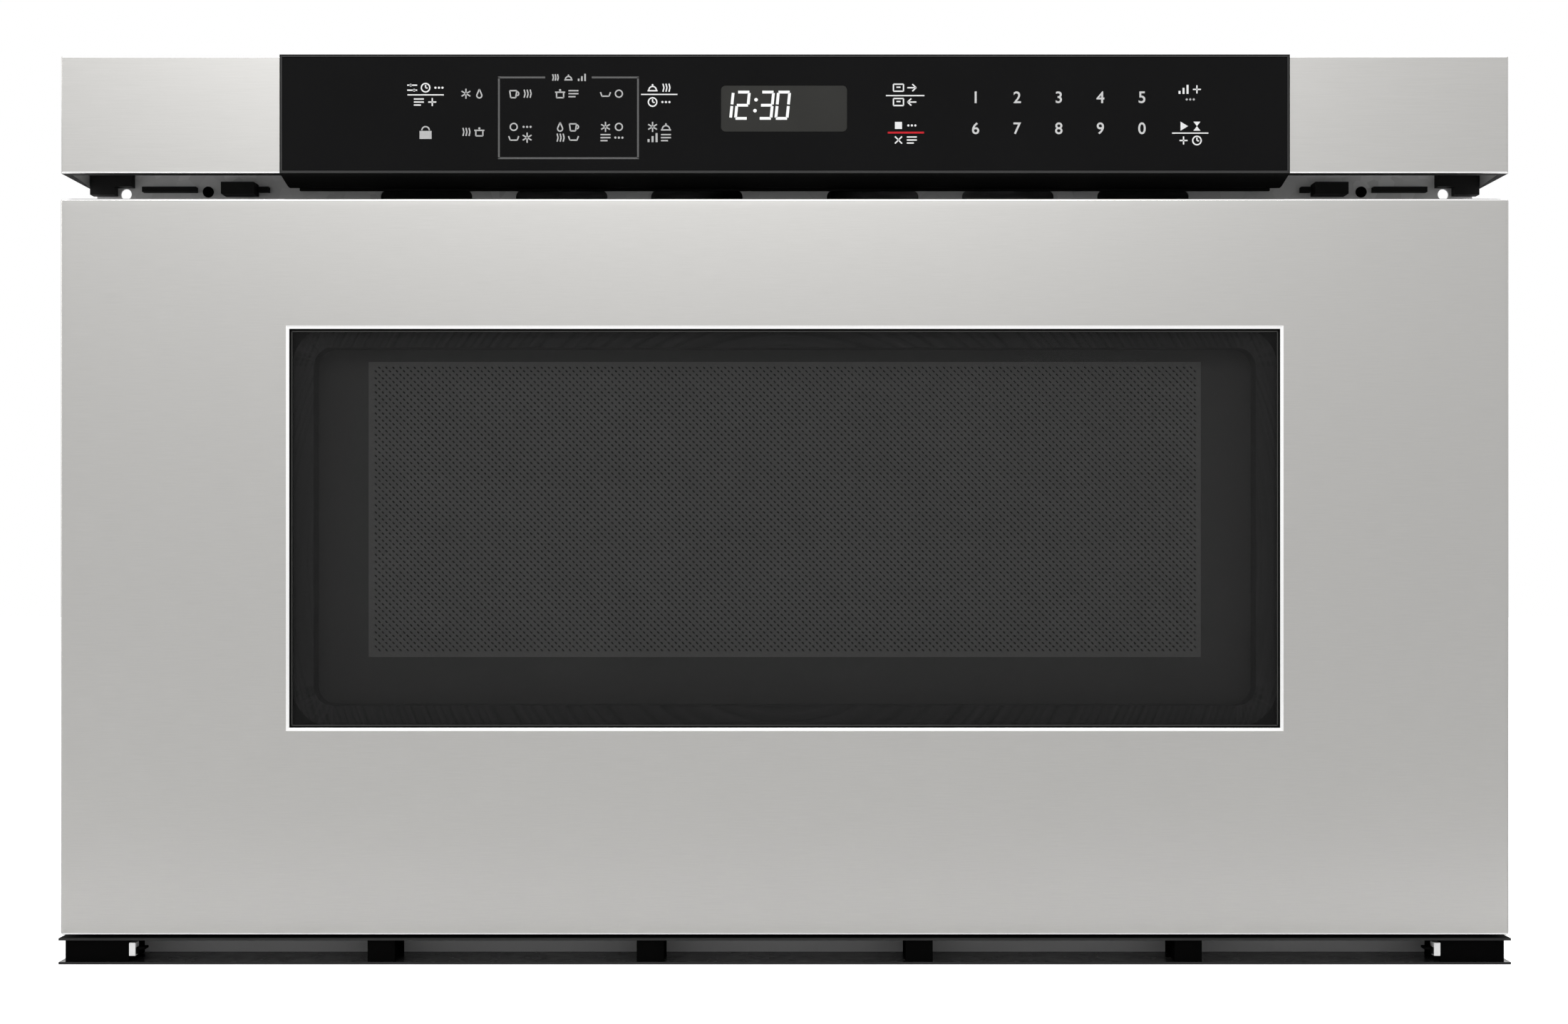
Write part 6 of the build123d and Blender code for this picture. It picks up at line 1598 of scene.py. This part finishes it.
@dataclass
class Drawer:
    """Tub, tray, arms, slides and racks."""

    wall: float = 1.0 * MM
    rim: float = 5.0 * MM  # reach of the rolled rim beyond the inside of the tub
    roll: tuple[Pair, ...] = ((0.3, 0.6), (1.0, 0.9), (3.3, 0.9), (4.1, 0.5), (4.3, -0.3), (4.3, -1.4))
    rim_drop: float = 4.0 * MM  # start of the roll below the flange's top
    flange_drop: float = 4.0 * MM
    corner: float = 20.0 * MM
    floor_radius: float = 6.0 * MM
    corner_steps: int = 8
    floor_steps: int = 5
    pressed_wall: float = 0.7  # thickness of the tub's wall, to the flange's

    def tub(self) -> None:
        """The pressed tub, with rounded floor and rolled rim, and its front flange."""
        low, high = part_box("drawer_tub")
        inside_low = Vector((low.x + self.rim, low.y, low.z + self.flange_drop))
        inside_high = Vector((high.x - self.rim, high.y - self.rim, high.z - self.rim_drop))
        mesh = block(inside_low, inside_high)
        drop(mesh, facing(mesh, (0, -1, 0)))
        uprights = [edge for edge in mesh.edges if not edge.is_boundary
                    and abs(edge.verts[0].co.z - edge.verts[1].co.z) > self.corner]
        soften(mesh, uprights, self.corner, self.corner_steps)
        base = facing(mesh, (0, 0, -1))[0]
        edges = [edge for edge in base.edges if not edge.is_boundary]
        soften(mesh, edges, self.floor_radius, self.floor_steps)
        drop(mesh, facing(mesh, (0, 0, 1)))
        self.roll_rim(mesh, inside_high.z)
        bmesh.ops.recalc_face_normals(mesh, faces=mesh.faces)
        bmesh.ops.reverse_faces(mesh, faces=mesh.faces)
        Piece("pressed_tub", "drawer", (Palette.grey_enamel,), "grey_enamel", ("drawer_tub",),
              sheet=self.wall * self.pressed_wall).make(mesh)
        flange = frame_plate(low, Vector((high.x, low.y + self.wall, high.z)), inside_low,
                             inside_high + Vector((0.0, 0.0, self.wall)))
        Piece("tub_flange", "drawer", (Palette.grey_enamel,), "grey_enamel").make(flange)

    def roll_rim(self, mesh: Mesh, top: float) -> None:
        """Curls the open top edge outwards.

        Args:
            mesh: the tub, open at the top.
            top: height of its top edge.
        """
        mesh.normal_update()
        edges = [tuple(edge.verts) for edge in mesh.edges if edge.is_boundary
                 and all(abs(vert.co.z - top) < HAIR for vert in edge.verts)]
        starts = {vert: (vert.co.copy(), Vector((vert.normal.x, vert.normal.y, 0.0)).normalized())
                  for edge in edges for vert in edge}
        row = {vert: vert for vert in starts}
        for out, up in self.roll:
            fresh = {vert: mesh.verts.new(place + way * out * MM + Vector((0.0, 0.0, up * MM)))
                     for vert, (place, way) in starts.items()}
            for first, last in edges:
                mesh.faces.new((row[first], row[last], fresh[last], fresh[first]))
            row = fresh

    def build(self, nodes: Nodes) -> None:
        """Makes the tub and dresses the drawer's other nodes.

        Args:
            nodes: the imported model's nodes by name.
        """
        self.tub()
        dress(nodes, Palette.ceramic, "ceramic_tray")
        dress(nodes, Palette.zinc, "outer_ball_cages", "inner_ball_cages")
        for side in Side:
            rails = (side.node(f"{member}_rail") for member in ("outer", "mid", "inner"))
            dress(nodes, Palette.zinc, *rails)
            dress(nodes, Palette.galvanised, side.node("drawer_arm"))
            dress(nodes, Palette.nylon, side.node("rack"))


@dataclass
class Drive:
    """Gear motor, cross shaft and door switches."""

    def build(self, nodes: Nodes) -> None:
        """Dresses the drive's nodes.

        Args:
            nodes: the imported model's nodes by name.
        """
        dress(nodes, Palette.motor_paint, "drive_motor")
        dress(nodes, Palette.nylon, "motor_gear", "shaft_gears", "shaft_bearings")
        dress(nodes, Palette.zinc, "drive_shaft")
        dress(nodes, Palette.black_plastic, "interlock_switches")
        dress(nodes, Palette.nylon, *(side.node("switch_plunger") for side in Side))


@dataclass
class Oven:
    """Cavity, stirrer, microwave source, fan and electrics."""

    def build(self, nodes: Nodes) -> None:
        """Dresses the oven's nodes.

        Args:
            nodes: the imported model's nodes by name.
        """
        dress(nodes, Palette.grey_enamel, "oven_cavity")
        dress(nodes, Palette.mica, "stirrer_cover")
        dress(nodes, Palette.aluminium, "stirrer_fan", "magnetron", "capacitor")
        dress(nodes, Palette.motor_paint, "stirrer_motor", "fan_motor")
        dress(nodes, Palette.dull_zinc, "waveguide", "fan_shroud")
        dress(nodes, Palette.black_plastic, "cooling_fan")
        dress(nodes, Palette.core, "transformer")
        dress(nodes, Palette.board, "filter_board")
        dress(nodes, Palette.nylon, "cavity_lamp")


# ---- Studio --------------------------------------------------------------------------------------


@dataclass
class Studio:
    """Pale floor, white surround, soft lamps and the photograph's camera."""

    frame_width: float = 656 * MM  # width of the picture at the face
    frame_middle: Triple = (-0.3 * MM, -296 * MM, 189.5 * MM)
    eye_height: float = 169 * MM
    distance: float = 1019 * MM
    sensor: float = 36.0
    ambient: float = 0.75
    floor_glow: float = 0.62
    floor_reach: float = 6.0
    floor_tone: float = 0.86
    aim: Triple = (0.0, -0.1, 0.25)  # the point that most lamps face

    def white_for_sight(self, tree: bpy.types.NodeTree, *others: str) -> Socket:
        """1 where a ray is the camera's or of one of the other named kinds, and else 0.

        Args:
            tree: the nodes that it joins.
            others: Light Path's names of the other kinds.

        Returns:
            The value socket.
        """
        path = tree.nodes.new("ShaderNodeLightPath")
        total = path.outputs["Is Camera Ray"]
        for name in others:
            most = tree.nodes.new("ShaderNodeMath")
            most.operation = "MAXIMUM"
            tree.links.new(total, most.inputs[0])
            tree.links.new(path.outputs[name], most.inputs[1])
            total = most.outputs[0]
        return total

    def world(self) -> None:
        """White surround that lights the object less than it shows."""
        world = bpy.data.worlds.new("surround")
        world.use_nodes = True
        tree = world.node_tree
        background = tree.nodes["Background"]
        background.inputs["Color"].default_value = (1.0, 1.0, 1.0, 1.0)
        strength = tree.nodes.new("ShaderNodeMapRange")
        strength.inputs["To Min"].default_value = self.ambient
        seen = self.white_for_sight(tree, "Is Glossy Ray", "Is Transmission Ray")
        tree.links.new(seen, strength.inputs["Value"])
        tree.links.new(strength.outputs["Result"], background.inputs["Strength"])
        bpy.context.scene.world = world

    def floor(self) -> None:
        """Pale floor that keeps the object's shadow."""
        mesh = bmesh.new()
        bmesh.ops.create_grid(mesh, x_segments=1, y_segments=1, size=self.floor_reach)
        data = bpy.data.meshes.new("studio_floor")
        mesh.to_mesh(data)
        mesh.free()
        floor = bpy.data.objects.new("studio_floor", data)
        bpy.context.scene.collection.objects.link(floor)
        recipe = Recipe("pale_floor")
        recipe.set(Roughness=0.9, Specular_IOR_Level=0.0)
        recipe.shader.inputs["Base Color"].default_value = (*grey(self.floor_tone), 1.0)
        recipe.shader.inputs["Emission Color"].default_value = (1.0, 1.0, 1.0, 1.0)
        glow = recipe.node("ShaderNodeMath", operation="MULTIPLY")
        glow.inputs[1].default_value = self.floor_glow
        recipe.join(self.white_for_sight(recipe.tree, "Is Transmission Ray"), glow.inputs[0])
        recipe.join(glow.outputs[0], recipe.shader.inputs["Emission Strength"])
        data.materials.append(recipe.material)

    def lamp(
        self, name: str, place: Triple, target: Triple, size: Pair, power: float, spread: float = 180.0
    ) -> None:
        """A soft area lamp.

        Args:
            name: its name.
            place: where it stands.
            target: the point that it faces.
            size: its width and height.
            power: in watts.
            spread: angle of its beam, in degrees.
        """
        data = bpy.data.lights.new(name, "AREA")
        data.shape, data.size, data.size_y, data.energy = "RECTANGLE", *size, power
        data.spread = math.radians(spread)
        lamp = bpy.data.objects.new(name, data)
        bpy.context.scene.collection.objects.link(lamp)
        lamp.location = place
        lamp.rotation_euler = (Vector(target) - Vector(place)).to_track_quat("-Z", "Y").to_euler()

    def camera(self) -> None:
        """Straight-on camera, with the small rise of the photograph's frame."""
        data = bpy.data.cameras.new("photo_camera")
        data.sensor_fit, data.sensor_width = "HORIZONTAL", self.sensor
        data.lens = self.sensor * self.distance / self.frame_width
        data.shift_x = self.frame_middle[0] / self.frame_width
        data.shift_y = (self.frame_middle[2] - self.eye_height) / self.frame_width
        camera = bpy.data.objects.new("photo_camera", data)
        bpy.context.scene.collection.objects.link(camera)
        camera.location = (0.0, self.frame_middle[1] - self.distance, self.eye_height)
        camera.rotation_euler = (math.pi / 2, 0.0, 0.0)
        bpy.context.scene.camera = camera

    def build(self) -> None:
        """Sets the studio up."""
        bpy.context.scene.view_settings.view_transform = "Standard"
        self.world()
        self.floor()
        self.camera()
        self.lamp("top_lamp", (-0.12, -1.7, 1.05), self.aim, (1.1, 0.6), 8.5)
        self.lamp("left_lamp", (-1.8, -0.9, 0.8), self.aim, (1.0, 1.2), 10.0)
        self.lamp("right_lamp", (1.9, -0.5, 1.0), self.aim, (1.0, 1.2), 3.2)
        self.lamp("floor_lamp", (0.0, -0.43, 0.62), (0.0, -0.42, 0.0), (1.2, 0.06), 0.45, 20.0)
        self.lamp("back_lamp", (0.3, 1.6, 1.2), self.aim, (1.4, 1.0), 12.0)


def corners(bounds: tuple[Vector, Vector]) -> list[list[float]]:
    """A box's corners as plain lists."""
    return [list(corner) for corner in bounds]


def main() -> None:
    """Builds the drawer round its frame."""
    logging.basicConfig(level=logging.INFO, format="%(message)s")
    for left_over in list(bpy.data.objects):
        bpy.data.objects.remove(left_over)
    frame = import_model()
    nodes = frame["nodes"]
    for part in (Door(), ControlPanel(), Cabinet(), Screws(), Drawer(), Drive(), Oven()):
        LOG.info("-- %s", type(part).__name__)
        part.build(nodes)
    Studio().build()


if __name__ == "__main__":
    main()
